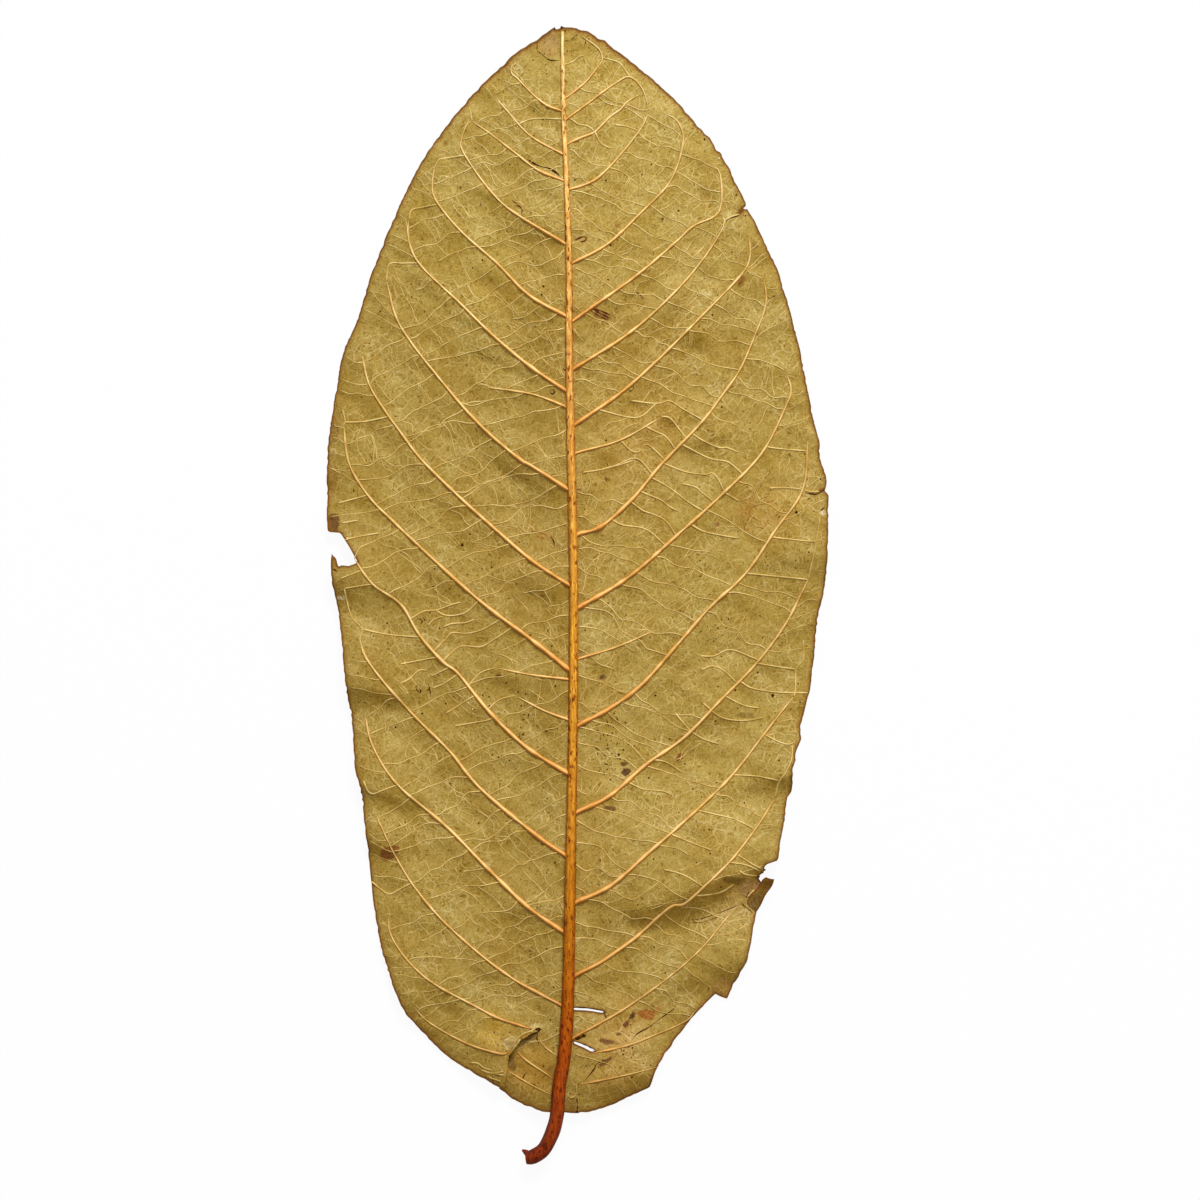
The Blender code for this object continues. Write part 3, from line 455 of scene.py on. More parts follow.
def margin_loop():
    """The closed margin. A smooth run wavers inwards from its curve, by the size of a ripple."""
    runs = []
    for kind, points in MARGIN:
        run = np.array(points, float)
        if kind == "smooth":
            run = smooth_curve(points, MARGIN_STEP)
            t = np.linspace(0, 1, len(run))
            ease = np.clip(np.minimum(t, 1 - t) * len(run) / CRINKLE_EASE, 0, 1)
            waver = ripple(run[:, 0], run[:, 1], CRINKLE_PITCH, 5) * CRINKLE * ease
            run = run + sideways(run) * np.abs(waver)[:, None]
        runs.append(run[:-1])
    return np.vstack(runs)


def crease_frame(x, y):
    """For each point: its signed distance from the crease (left is positive), how far the crease has
    grown there, and the crease's normal to the right."""
    line = np.array(CREASE)
    start, run = line[:-1], np.diff(line, axis=0)
    length = np.linalg.norm(run, axis=1)
    off_x, off_y = x[:, None] - start[:, 0], y[:, None] - start[:, 1]
    along = np.clip((off_x * run[:, 0] + off_y * run[:, 1]) / length**2, 0, 1)
    gap = np.hypot(off_x - along * run[:, 0], off_y - along * run[:, 1])
    best = gap.argmin(axis=1)
    rows = np.arange(len(x))
    side = np.sign(off_x[rows, best] * run[best, 1] - off_y[rows, best] * run[best, 0])
    reached = (np.cumsum(length) - length)[best] + along[rows, best] * length[best]
    grown = np.clip(reached / CREASE_START, 0, 1)
    normal = np.column_stack([-run[:, 1], run[:, 0]]) / length[:, None]
    return side * gap[rows, best], grown, normal[best]


def lie_of_blade(x, y):
    """Height of the blade's lower face above the table: flat where it is pressed down, with an arch
    under the midrib, a lifted margin, a rise to the stalk, long swells and the step of the crease."""
    height = -PRESSED_DEPTH + MIDRIB_ARCH * np.exp(-(((x - midrib_x(y)) / MIDRIB_ARCH_WIDTH) ** 2))
    height += MARGIN_LIFT * (x / HALF_WIDTH) ** 4 * (0.5 + 0.5 * np.cos(y / MARGIN_WAVE))
    height += BASE_RISE * np.clip(-y / HALF_LENGTH, 0, 1) ** BASE_RISE_POWER
    for cx, cy, degrees, length, above, below, rise in SWELLS:
        turn = math.radians(degrees)
        along = (x - cx) * math.cos(turn) + (y - cy) * math.sin(turn)
        across = (y - cy) * math.cos(turn) - (x - cx) * math.sin(turn)
        width = np.where(across > 0, above, below)
        height += rise * np.exp(-((along / length) ** 2) - (across / width) ** 2)
    signed, grown, _ = crease_frame(x, y)
    height += CREASE_STEP * grown * (signed > 0) * np.exp(-((signed / CREASE_REACH) ** 2))
    return np.maximum(height, 0.0)


# ---- vein layout
def aimed_line(start, end, waver, seed):
    """A vein from start to end that wavers to both sides: the straight line plus sines, with a slight
    kink about every millimetre."""
    draws = np.random.default_rng(seed)
    length = math.hypot(*(end - start))
    t = np.linspace(0, 1, max(4, round(length / FINE_VEIN_STEP)))
    side = np.array([start[1] - end[1], end[0] - start[0]]) / length
    shift = sum(draws.normal() * waver / k * np.sin(k * math.pi * t) for k in (1, 2, 3, 5))
    bends = np.linspace(0, 1, max(3, round(length / KINK_PITCH)))
    kinks = draws.normal(0, KINK, len(bends)) * (bends > 0) * (bends < 1)
    shift = shift + np.interp(t, bends, kinks)
    return start + (end - start) * t[:, None] + side * shift[:, None]


def cross_veins(laterals, outwards, draws):
    """Veins that cross from each lateral, or from the midrib beside it, to the next lateral below it.
    They fall outwards by CROSS_FALL, and links join each to its neighbour."""
    ordered = sorted(laterals, key=lambda line: line[0][1])
    crossing, links = [], []
    for lower, upper in zip(ordered, ordered[1:]):
        target = smooth_curve(lower, FINE_VEIN_STEP)
        rib_y = np.arange(lower[0][1] + 1.0, upper[0][1], FINE_VEIN_STEP)
        rib = np.column_stack([midrib_x(rib_y) + CROSS_START * outwards, rib_y])
        source = np.vstack([rib, smooth_curve(upper, FINE_VEIN_STEP)])
        length = arc_lengths(source)
        at = draws.uniform(0.5, 1.5)
        previous, reached = None, 0
        while at < length[-1]:
            start = points_at(source, length, at)
            at += draws.uniform(*CROSS_GAP)
            fall = math.radians(draws.uniform(*CROSS_FALL))
            way = target - start
            size = np.hypot(way[:, 0], way[:, 1])
            misses = np.abs(np.arctan2(-way[:, 1], way[:, 0] * outwards) - fall)
            misses[(size <= CROSS_LENGTH[0]) | (size >= CROSS_LENGTH[1])] = np.inf
            misses[:reached] = np.inf
            best = misses.argmin()
            if misses[best] > math.radians(CROSS_MISS):
                previous = None
                continue
            reached = best + 2
            waver = CROSS_WAVER[0] + CROSS_WAVER[1] * size[best]
            line = aimed_line(start, target[best], waver, int(draws.integers(1 << 30)))
            stops = draws.random() < STOPS_SHORT and len(line) > 10
            crossing.append(line[:int(len(line) * draws.uniform(*STOPS_AT))] if stops else line)
            if previous is not None:
                for spot in draws.uniform(0.15, 0.85, draws.integers(1, 3 + int(size[best] / 3))):
                    a = previous[int(spot * (len(previous) - 1))]
                    b = line[int(np.clip(spot + draws.normal() * 0.1, 0.05, 0.95) * (len(line) - 1))]
                    if LINK_LENGTH[0] < math.hypot(*(b - a)) < LINK_LENGTH[1]:
                        links.append(aimed_line(a, b, LINK_WAVER, int(draws.integers(1 << 30))))
            previous = line
    return crossing, links


def marginal_veins(laterals, margin, draws):
    """Short veins from the outer loops of the laterals to the margin, leaning to the tip."""
    found = []
    for points in laterals:
        line = smooth_curve(points, FINE_VEIN_STEP)
        length = arc_lengths(line)
        at = length[-1] * MARGINAL_START
        while at < length[-1]:
            start = points_at(line, length, at)
            at += draws.uniform(*MARGINAL_GAP)
            gap = np.hypot(*(margin - start).T)
            nearest = gap.argmin()
            if not MARGINAL_LENGTH[0] < gap[nearest] < MARGINAL_LENGTH[1]:
                continue
            lean = np.array([0.0, draws.uniform(0.0, MARGINAL_LEAN) * gap[nearest]])
            end = margin[np.hypot(*(margin - margin[nearest] - lean).T).argmin()]
            end = start + (end - start) * (1 - MARGINAL_STOP / gap[nearest])
            found.append(aimed_line(start, end, MARGINAL_WAVER, int(draws.integers(1 << 30))))
    return found


def strong_vein(points):
    """A lateral or minor vein as a smooth curve. One that starts near the midrib gets one more point in
    front, under the midrib's middle."""
    x, y = points[0]
    middle = float(midrib_x(y))
    if abs(x - middle) < ROOT_REACH:
        points = ((middle, y - ROOT_FALL * abs(x - middle)), *points)
    return smooth_curve(points, VEIN_STEP)


def joined(line, others):
    """The line with each end that stops just short of another line moved onto it."""
    line = np.array(line, float)
    targets = np.vstack(others)
    for end in (0, -1):
        gap = np.hypot(*(targets - line[end]).T)
        if gap.min() < JOIN_REACH:
            line[end] = targets[gap.argmin()]
    return line


def clear_of(lines, others, gap, share):
    """The lines of which no more than this share of points comes nearer than the gap to the others."""
    return [line for line in lines if (near_lines(line[:, 0], line[:, 1], others, 2.0) < gap).mean() <= share]


def outside_bare(lines):
    """The lines that lie outside each bare place by more than BARE_SHARE of their points."""
    for x, y, reach in BARE:
        lines = [line for line in lines if (np.hypot(*(line - (x, y)).T) > reach).mean() > BARE_SHARE]
    return lines


class Veins:
    """All vein lines of the leaf. Random ones give way to splits, to minor veins and to known ones."""

    def __init__(self, margin):
        draws = np.random.default_rng(11)
        left, left_links = cross_veins(LEFT_LATERALS, -1, draws)
        right, right_links = cross_veins(RIGHT_LATERALS, 1, draws)
        links = left_links + right_links + marginal_veins(LEFT_LATERALS + RIGHT_LATERALS, margin, draws)
        self.laterals = [strong_vein(points) for points in LEFT_LATERALS + RIGHT_LATERALS]
        self.minor = [strong_vein(points) for points in MINOR_VEINS]
        rib_y = np.arange(-HALF_LENGTH, HALF_LENGTH, FINE_VEIN_STEP)
        strong = self.laterals + self.minor + [np.column_stack([midrib_x(rib_y), rib_y])]
        known = [smooth_curve(joined(points, strong), FINE_VEIN_STEP) for points in KNOWN_CROSS_VEINS]
        known = [evenly(line, FINE_VEIN_STEP) for line in known]
        splits = [closed(split) for split in SPLITS]
        crossing = clear_of(left + right, splits, gap=0.15, share=0.0)
        crossing = clear_of(crossing, known, gap=0.9, share=0.3)
        crossing = clear_of(crossing, self.minor, gap=0.5, share=0.3)
        links = clear_of(links, splits, gap=0.15, share=0.0)
        links = clear_of(links, known, gap=0.35, share=0.3)
        self.crossing = known + outside_bare(crossing)
        self.links = outside_bare(links)
        self.known_count = len(known)


def blade_top(x, y, veins):
    """Height of the blade's veined face: the lie and the thickness, a bell-shaped fold along each vein,
    and fine cockles in between."""
    height = lie_of_blade(x, y) + BLADE_THICKNESS - FACE_DROP
    lateral = near_lines(x, y, veins.laterals + veins.minor, FOLD_WIDTHS * LATERAL_FOLD_WIDTH)
    crossing = near_lines(x, y, veins.crossing + veins.links, FOLD_WIDTHS * CROSS_FOLD_WIDTH)
    eased = np.clip(FOLD_ROOT + np.abs(x - midrib_x(y)) / FOLD_EASE, 0, 1)
    height += LATERAL_FOLD * eased * np.exp(-((lateral / LATERAL_FOLD_WIDTH) ** 2))
    height += CROSS_FOLD * np.exp(-((crossing / CROSS_FOLD_WIDTH) ** 2))
    for rise, pitch, seed in COCKLES:
        height += rise * ripple(x, y, pitch, seed)
    return height


# ---- meshes
def linear(code):
    """sRGB hex to linear RGBA."""
    values = [int(code[i:i + 2], 16) / 255 for i in (0, 2, 4)]
    return tuple(v / 12.92 if v <= 0.04045 else ((v + 0.055) / 1.055) ** 2.4 for v in values) + (1.0,)


def put_in_scene(name, points, faces, materials, face_slots=None, attributes=None, sharp=None):
    """Makes a mesh from points in millimetres and a list of face arrays, and has it ride on the leaf.
    face_slots gives a material number to each face array."""
    data = bpy.data.meshes.new(name)
    data.vertices.add(len(points))
    data.vertices.foreach_set("co", (np.asarray(points) * MM).astype(np.float32).ravel())
    corners = np.concatenate([f.ravel() for f in faces])
    sizes = np.concatenate([np.full(len(f), f.shape[1]) for f in faces])
    data.loops.add(len(corners))
    data.loops.foreach_set("vertex_index", corners.astype(np.int32))
    data.polygons.add(len(sizes))
    data.polygons.foreach_set("loop_start", (np.cumsum(sizes) - sizes).astype(np.int32))
    if face_slots is not None:
        slots = np.concatenate([np.full(len(f), s) for f, s in zip(faces, face_slots)])
        data.polygons.foreach_set("material_index", slots.astype(np.int32))
    data.update(calc_edges=True)
    data.validate()
    for key, values in (attributes or {}).items():
        if values.ndim == 2:
            made = data.attributes.new(key, "FLOAT_COLOR", "POINT")
            made.data.foreach_set("color", values.astype(np.float32).ravel())
        else:
            made = data.attributes.new(key, "FLOAT", "POINT")
            made.data.foreach_set("value", values.astype(np.float32))
    for material in materials:
        data.materials.append(material)
    data.shade_smooth()
    if sharp:
        data.set_sharp_from_angle(angle=math.radians(sharp))
    piece = bpy.data.objects.new(name, data)
    bpy.context.scene.collection.objects.link(piece)
    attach(piece, "root")
    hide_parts("leaf")


def cells_inside(field):
    """Faces of a grid cut along field = 0, where field > 0 is kept.

    Every cell gives one polygon: its corners that are kept and the crossings on its sides, in order
    round the cell. Crossings are numbered after the grid's own points, those on rows first."""
    rows, columns = field.shape
    kept = field > 0
    number = np.arange(rows * columns).reshape(rows, columns)
    on_row = rows * columns + np.arange(rows * (columns - 1)).reshape(rows, columns - 1)
    on_column = on_row.max() + 1 + np.arange((rows - 1) * columns).reshape(rows - 1, columns)
    corner = (kept[:-1, :-1], kept[:-1, 1:], kept[1:, 1:], kept[1:, :-1])
    items = (number[:-1, :-1], on_row[:-1], number[:-1, 1:], on_column[:, 1:],
             number[1:, 1:], on_row[1:], number[1:, :-1], on_column[:, :-1])
    case = sum(c.astype(int) << k for k, c in enumerate(corner))
    faces = []
    for value in range(1, 16):
        held = [bool(value >> k & 1) for k in range(4)]
        chosen = []
        for k in range(4):
            if held[k]:
                chosen.append(items[2 * k])
            if held[k] != held[(k + 1) % 4]:
                chosen.append(items[2 * k + 1])
        cells = case == value
        faces.append(np.column_stack([item[cells] for item in chosen]))
    return faces


def crossings(field, values):
    """Values of the grid's points, then of the crossings on rows and on columns, by linear blending."""
    def blend(f0, f1, v0, v1):
        t = np.where(f0 != f1, f0 / np.where(f0 == f1, 1, f0 - f1), 0.5)
        return v0 + (v1 - v0) * np.clip(t, 0, 1)
    rows = blend(field[:, :-1], field[:, 1:], values[:, :-1], values[:, 1:])
    columns = blend(field[:-1], field[1:], values[:-1], values[1:])
    return np.concatenate([values.ravel(), rows.ravel(), columns.ravel()])


def rim_of(faces):
    """Directed edges that only one face uses."""
    ends = [np.column_stack([f[:, k], f[:, (k + 1) % f.shape[1]]]) for f in faces for k in range(f.shape[1])]
    ends = np.vstack(ends)
    size = ends.max() + 1
    return ends[~np.isin(ends[:, 0] * size + ends[:, 1], ends[:, 1] * size + ends[:, 0])]


def crease_warp(grid_s, y):
    """How far the grid's points move aside so that CREASE_COLUMN follows the crease: in each row by the
    way from the column to the crease, less with the distance from the column and above the crease."""
    line = np.array(CREASE)[::-1]
    head = line[-1, 1]
    shift = np.interp(y, line[:, 1], line[:, 0]) - midrib_x(y) - CREASE_COLUMN
    at_head = shift[y <= head][-1]
    shift = np.where(y > head, at_head * np.exp(-(((y - head) / CREASE_FADE) ** 2)), shift)
    beyond = 1 - (CREASE_COLUMN - grid_s) / CREASE_SPREAD
    weight = np.where(grid_s > CREASE_COLUMN, grid_s / CREASE_COLUMN, beyond)
    return shift[:, None] * np.clip(weight, 0, 1)


def depth_in_blade(x, y, margin):
    """Signed distance to the blade's outline, positive inside: the least of that to the margin and, with
    its sign turned, those to the splits. It is kept off zero by LEAST_DEPTH."""
    reach = 2.0
    depth = near_lines(x, y, [closed(margin)], reach) * np.where(inside(x, y, margin), 1, -1)
    for split in SPLITS:
        gap = near_lines(x, y, [closed(split)], reach)
        depth = np.minimum(depth, gap * np.where(inside(x, y, np.array(split)), -1, 1))
    return np.where(np.abs(depth) < LEAST_DEPTH, np.where(depth < 0, -LEAST_DEPTH, LEAST_DEPTH), depth)


def blade_half(side, margin):
    """Plan of one half of the blade: grid columns run beside the midrib, and one follows the crease.

    Point (i, j) is at (midrib_x(y_j) + s_i + warp, y_j). Returns x, y and the faces inside the outline."""
    s = np.sort(np.arange(0, HALF_WIDTH + 2, GRID_STEP) * side)
    y = np.arange(-HALF_LENGTH, HALF_LENGTH + GRID_STEP, GRID_STEP)
    for low, high in FINE_ROWS:
        y = np.concatenate([y[(y < low) | (y > high)], np.arange(low, high, FINE_STEP)])
    y = np.sort(y)
    if side < 0:
        s = s[np.abs(s - CREASE_COLUMN) > GRID_STEP / 2]
        s = np.sort(np.concatenate([s, [CREASE_COLUMN - CREASE_GAP, CREASE_COLUMN + CREASE_GAP]]))
    grid_s, grid_y = np.meshgrid(s, y)
    grid_x = midrib_x(grid_y) + grid_s
    if side < 0:
        grid_x += crease_warp(grid_s, y)
    depth = depth_in_blade(grid_x.ravel(), grid_y.ravel(), margin).reshape(grid_x.shape)
    faces = [f for f in cells_inside(depth) if len(f)]
    used, again = np.unique(np.concatenate([f.ravel() for f in faces]), return_inverse=True)
    ends = np.cumsum([f.size for f in faces])
    faces = [part.reshape(f.shape) for part, f in zip(np.split(again, ends[:-1]), faces)]
    return crossings(depth, grid_x)[used], crossings(depth, grid_y)[used], faces


def blade_piece(name, side, margin, veins, materials):
    """One half of the blade as a closed sheet: a veined face, a smooth face and the cut rim. At the
    crease both layers are moved along its normal, so that the upper one laps over the lower one."""
    x, y, faces = blade_half(side, margin)
    edge = near_lines(x, y, [closed(margin)], EDGE_REACH)
    slit = near_lines(x, y, [closed(split) for split in SPLITS], SPLIT_REACH)
    thick = SHEET_THICKNESS * (RIM_SHARE + (1 - RIM_SHARE) * np.clip(edge / RIM_TAPER, 0, 1))
    top = blade_top(x, y, veins) - (SHEET_THICKNESS - thick) / 2
    low = np.maximum(top - thick, 0.0)
    top = np.maximum(top, low + SHEET_LEAST)
    signed, grown, normal = crease_frame(x, y)
    lap = CREASE_LAP * grown * np.clip(1 - np.abs(signed) / CREASE_LAP_REACH, 0, 1) * np.sign(signed)
    plan = np.column_stack([x, y]) + lap[:, None] * normal
    count = len(x)
    points = np.vstack([np.column_stack([plan, top]), np.column_stack([plan, low])])
    rim = rim_of(faces)
    wall = np.column_stack([rim[:, 1], rim[:, 0], rim[:, 0] + count, rim[:, 1] + count])
    under = [f[:, ::-1] + count for f in faces]
    # The blade's slope up to the tip, from which lamina_colour paints shade
    ahead, behind = (blade_top(x, y + reach, veins) for reach in (SLOPE_REACH, -SLOPE_REACH))
    colour, stain_and_shade = lamina_colour(x, y, edge, (ahead - behind) / (2 * SLOPE_REACH))
    edge = np.minimum(edge * np.interp(y, *EDGE_WIDTHS), SPLIT_RIM + SPLIT_EDGE * slit)
    put_in_scene(
        name, points, faces + under + [wall], materials,
        face_slots=[0] * len(faces) + [1] * len(under) + [0],
        attributes={"tint": np.tile(colour, (2, 1)), "stain_and_shade": np.tile(stain_and_shade, (2, 1)),
                    "edge": np.tile(edge, 2)},
        sharp=60,
    )


def closed_sheet(face, thickness):
    """A closed sheet from a grid of points (rows, columns, 3): the grid, the same grid moved down by the
    thickness along its normals, and a wall round the edge. Returns points and faces."""
    along_rows, along_columns = np.gradient(face, axis=0), np.gradient(face, axis=1)
    normal = np.cross(along_columns, along_rows)
    normal /= np.linalg.norm(normal, axis=2)[..., None]
    normal *= np.sign(normal[..., 2].sum())
    rows, columns = face.shape[:2]
    number = np.arange(rows * columns).reshape(rows, columns)
    quads = np.stack([number[:-1, :-1], number[:-1, 1:], number[1:, 1:], number[1:, :-1]], -1).reshape(-1, 4)
    first = np.cross(face[0, 1] - face[0, 0], face[1, 0] - face[0, 0])
    if first @ normal[0, 0] < 0:
        quads = quads[:, ::-1]
    count = rows * columns
    rim = rim_of([quads])
    wall = np.column_stack([rim[:, 1], rim[:, 0], rim[:, 0] + count, rim[:, 1] + count])
    points = np.vstack([face.reshape(-1, 3), (face - thickness * normal).reshape(-1, 3)])
    return points, [quads, quads[:, ::-1] + count, wall]


# Section of a vein's ridge: place across it and height, as shares of its half-width and its height. The
# feet and the last point, its underside, are sunk in the blade.
PROFILE = np.array([(-1.0, -0.25), (-0.75, 0.35), (-0.4, 0.86), (0.0, 1.0), (0.4, 0.86), (0.75, 0.35),
                    (1.0, -0.25), (0.0, -1.2)])
LEAST_LEVEL = 0.02  # no ridge reaches lower than this above the table
TIP_FACING = 2.5  # the sides of a vein face the tip and the stalk in full if it runs within 66 degrees of X


def carried_ridges(lines, widths, heights, veins):
    """Ridges carried along lines on the blade. Each profile point stands at its own spot's height on the
    blade, plus the ridge's height times its share.

    Attributes: along goes from 0 to 1 on each ridge's way, across from 0 on its crown to 1 at its feet,
    and tipward from -1 on its stalk side to 1 on its tip side."""
    centre = np.vstack(lines)
    normal = np.vstack([sideways(line) for line in lines])
    width, height = np.concatenate(widths), np.concatenate(heights)
    plan = centre[:, None] + PROFILE[:, 0][None, :, None] * width[:, None, None] * normal[:, None]
    base = blade_top(plan[..., 0].ravel(), plan[..., 1].ravel(), veins).reshape(plan.shape[:2])
    level = np.maximum(base + PROFILE[:, 1] * height[:, None], LEAST_LEVEL)
    points = np.dstack([plan, level]).reshape(-1, 3)
    sides = len(PROFILE)
    sizes = np.array([len(line) for line in lines])
    last = np.cumsum(sizes) - 1
    first = last - sizes + 1
    ring = np.setdiff1d(np.arange(len(centre)), last)[:, None] * sides
    k = np.arange(sides)
    following = (k + 1) % sides
    walls = np.stack([ring + k, ring + sides + k, ring + sides + following, ring + following], -1)
    caps = np.vstack([first[:, None] * sides + k, last[:, None] * sides + k[::-1]])
    along = np.concatenate([np.linspace(0, 1, size) for size in sizes])
    across = np.abs(PROFILE[:, 0])
    across[-1] = 1
    tipward = PROFILE[:, 0] * np.clip(TIP_FACING * normal[:, 1:], -1, 1)
    attributes = {"along": np.repeat(along, sides), "across": np.tile(across, len(centre)),
                  "tipward": tipward.ravel()}
    return points, [walls.reshape(-1, 4)[:, ::-1], caps[:, ::-1]], attributes


def tube(path, sides, shape):
    """A closed tube along (x, y, z, radius) rows: a ring square to the path round each row, whose radius
    shape(row, angle) scales. Also returns how far aside each point lies, from -1 to 1."""
    run = np.gradient(path[:, :3], axis=0)
    run /= np.linalg.norm(run, axis=1)[:, None]
    across = np.cross(run, (0.0, 0.0, 1.0))
    across /= np.linalg.norm(across, axis=1)[:, None]
    up = np.cross(across, run)
    angle = np.arange(sides) * 2 * math.pi / sides
    share = path[:, 3:4] * shape(np.arange(len(path))[:, None], angle[None, :])
    points = (path[:, None, :3] + (share * np.cos(angle))[..., None] * across[:, None]
              + (share * np.sin(angle))[..., None] * up[:, None])
    k = np.arange(sides)
    ring = np.arange(len(path) - 1)[:, None] * sides
    following = (k + 1) % sides
    walls = np.stack([ring + k, ring + following, ring + sides + following, ring + sides + k], -1)
    last = (len(path) - 1) * sides
    flank = np.broadcast_to(np.cos(angle), (len(path), sides)).ravel()
    return points.reshape(-1, 3), [walls.reshape(-1, 4), k[None, ::-1], last + k[None]], flank


def rib_section(row, angle):
    """Share of the radius at each row and angle: shallow grooves that wander round, and slow knobs."""
    return (1 + 0.035 * np.sin(5 * angle + 0.03 * row) + 0.02 * np.sin(11 * angle - 0.07 * row)
            + 0.02 * np.sin(0.55 * row + 3 * np.sin(0.08 * row)))


def rib_path(rows, step, veins):
    """Rows of (x, y, radius) as a path that rides half sunk in the veined face, over its folds, or clear
    of the table. The face's height is evened out along the path by a bell-shaped average."""
    x, y, radius = smooth_curve(rows, step).T
    over_blade = np.clip((y + HALF_LENGTH - STALK_START) / STALK_BLEND, 0, 1)
    face = np.maximum(blade_top(x - radius, y, veins), blade_top(x + radius, y, veins))
    spread = np.arange(-RIB_SMOOTHING, RIB_SMOOTHING + 1)
    share = np.exp(-((2 * spread / RIB_SMOOTHING) ** 2))
    face = np.convolve(np.pad(face, RIB_SMOOTHING, mode="edge"), share / share.sum(), mode="valid")
    on_blade = face - RIB_SINK * BLADE_THICKNESS + RIB_STAND * radius
    height = over_blade * on_blade + (1 - over_blade) * (STALK_LIFT + radius)
    return np.column_stack([x, y, np.maximum(height, TABLE_CLEARANCE * radius), radius])


# ---- colours on the blade
LAMINA = "B2954A"
# How pale the blade is along its length: y, and level
LEVELS = ((-60.0, -54.0, -48.0, -43.0, -34.0, -25.0, -10.0, 10.0, 36.0, 48.0, 57.0),
          (0.77, 0.8, 0.9, 0.95, 1.0, 1.03, 0.985, 1.01, 1.04, 1.08, 1.17))
SIDE_LEVEL = (0.04, 6.0)  # the right half is paler, the left one duller: how much, and from how far out
LEFT_DULL = (0.04, 5.0)  # by the midrib on the left: how much, and how far out
RIM_DULL = (0.05, 1.6)  # along the margin: how much, and how far in
TINT_POWERS = np.array((1.0, 1.25, 1.9))  # blue falls most where the blade is dull, red least
MOTTLES = ((0.028, 9.0, 31), (0.022, 4.0, 32))  # slow unevenness of the colour: strength, pitch and seed
MOTTLE_POWERS = np.array((1.0, 1.5, 3.2))
SLOPE_REACH = 0.4  # the slope is measured between points this far up and down the blade
SHADE_LIMITS = (0.4, 1.6)
OLIVE_PAINTED_SHADE = np.array((0.0, 0.12, 0.6))  # painted shade: how much each of red, green and blue falls where the blade faces away from the softbox
# Soft patches: (x, y, reach, factors of red, green and blue). Those at (-9.2, -48.4), (-10.7, 35.0)
# and (-7.6, 32.8) are painted light, which lifts the shade of the blade's folds there.
PATCHES = (
    (8.0, 22.0, 8.0, (1.01, 0.96, 0.92)), (-6.0, 3.0, 6.0, (1.0, 0.96, 0.92)),
    (1.5, -30.0, 6.0, (1.0, 0.97, 0.95)), (3.0, 8.0, 5.0, (1.0, 0.97, 0.95)),
    (-3.0, 34.0, 6.0, (1.03, 1.0, 1.0)), (14.0, -28.0, 5.0, (1.0, 0.98, 0.96)),
    (5.0, -48.3, 3.6, (1.24, 1.18, 1.45)), (3.5, -53.0, 3.5, (1.12, 1.06, 1.12)),
    # The first entry below is painted light that lifts the shade of the slope by the crease's head.
    (-9.2, -48.4, 2.3, (1.5, 1.5, 1.5)), (-5.0, -52.6, 2.8, (1.26, 1.1, 1.0)),
    (20.0, -49.5, 8.0, (1.03, 1.03, 1.08)), (-16.0, -32.0, 8.0, (1.04, 1.04, 1.06)),
    # Both entries below are painted light that lifts the shade of the folds beside the laterals.
    (-10.7, 35.0, 3.0, (1.07, 1.06, 1.05)), (-7.6, 32.8, 2.5, (1.08, 1.07, 1.05)),
    (-9.0, 38.0, 9.0, (1.03, 1.05, 1.02)), (0.0, -53.0, 5.0, (1.04, 1.06, 1.1)),
    (22.0, 9.5, 4.0, (1.04, 0.97, 0.9)), (6.0, 16.0, 4.5, (1.02, 0.97, 0.95)),
    (17.5, -33.8, 3.0, (1.05, 1.0, 1.15)), (9.0, 32.0, 6.0, (0.98, 0.97, 0.97)),
)
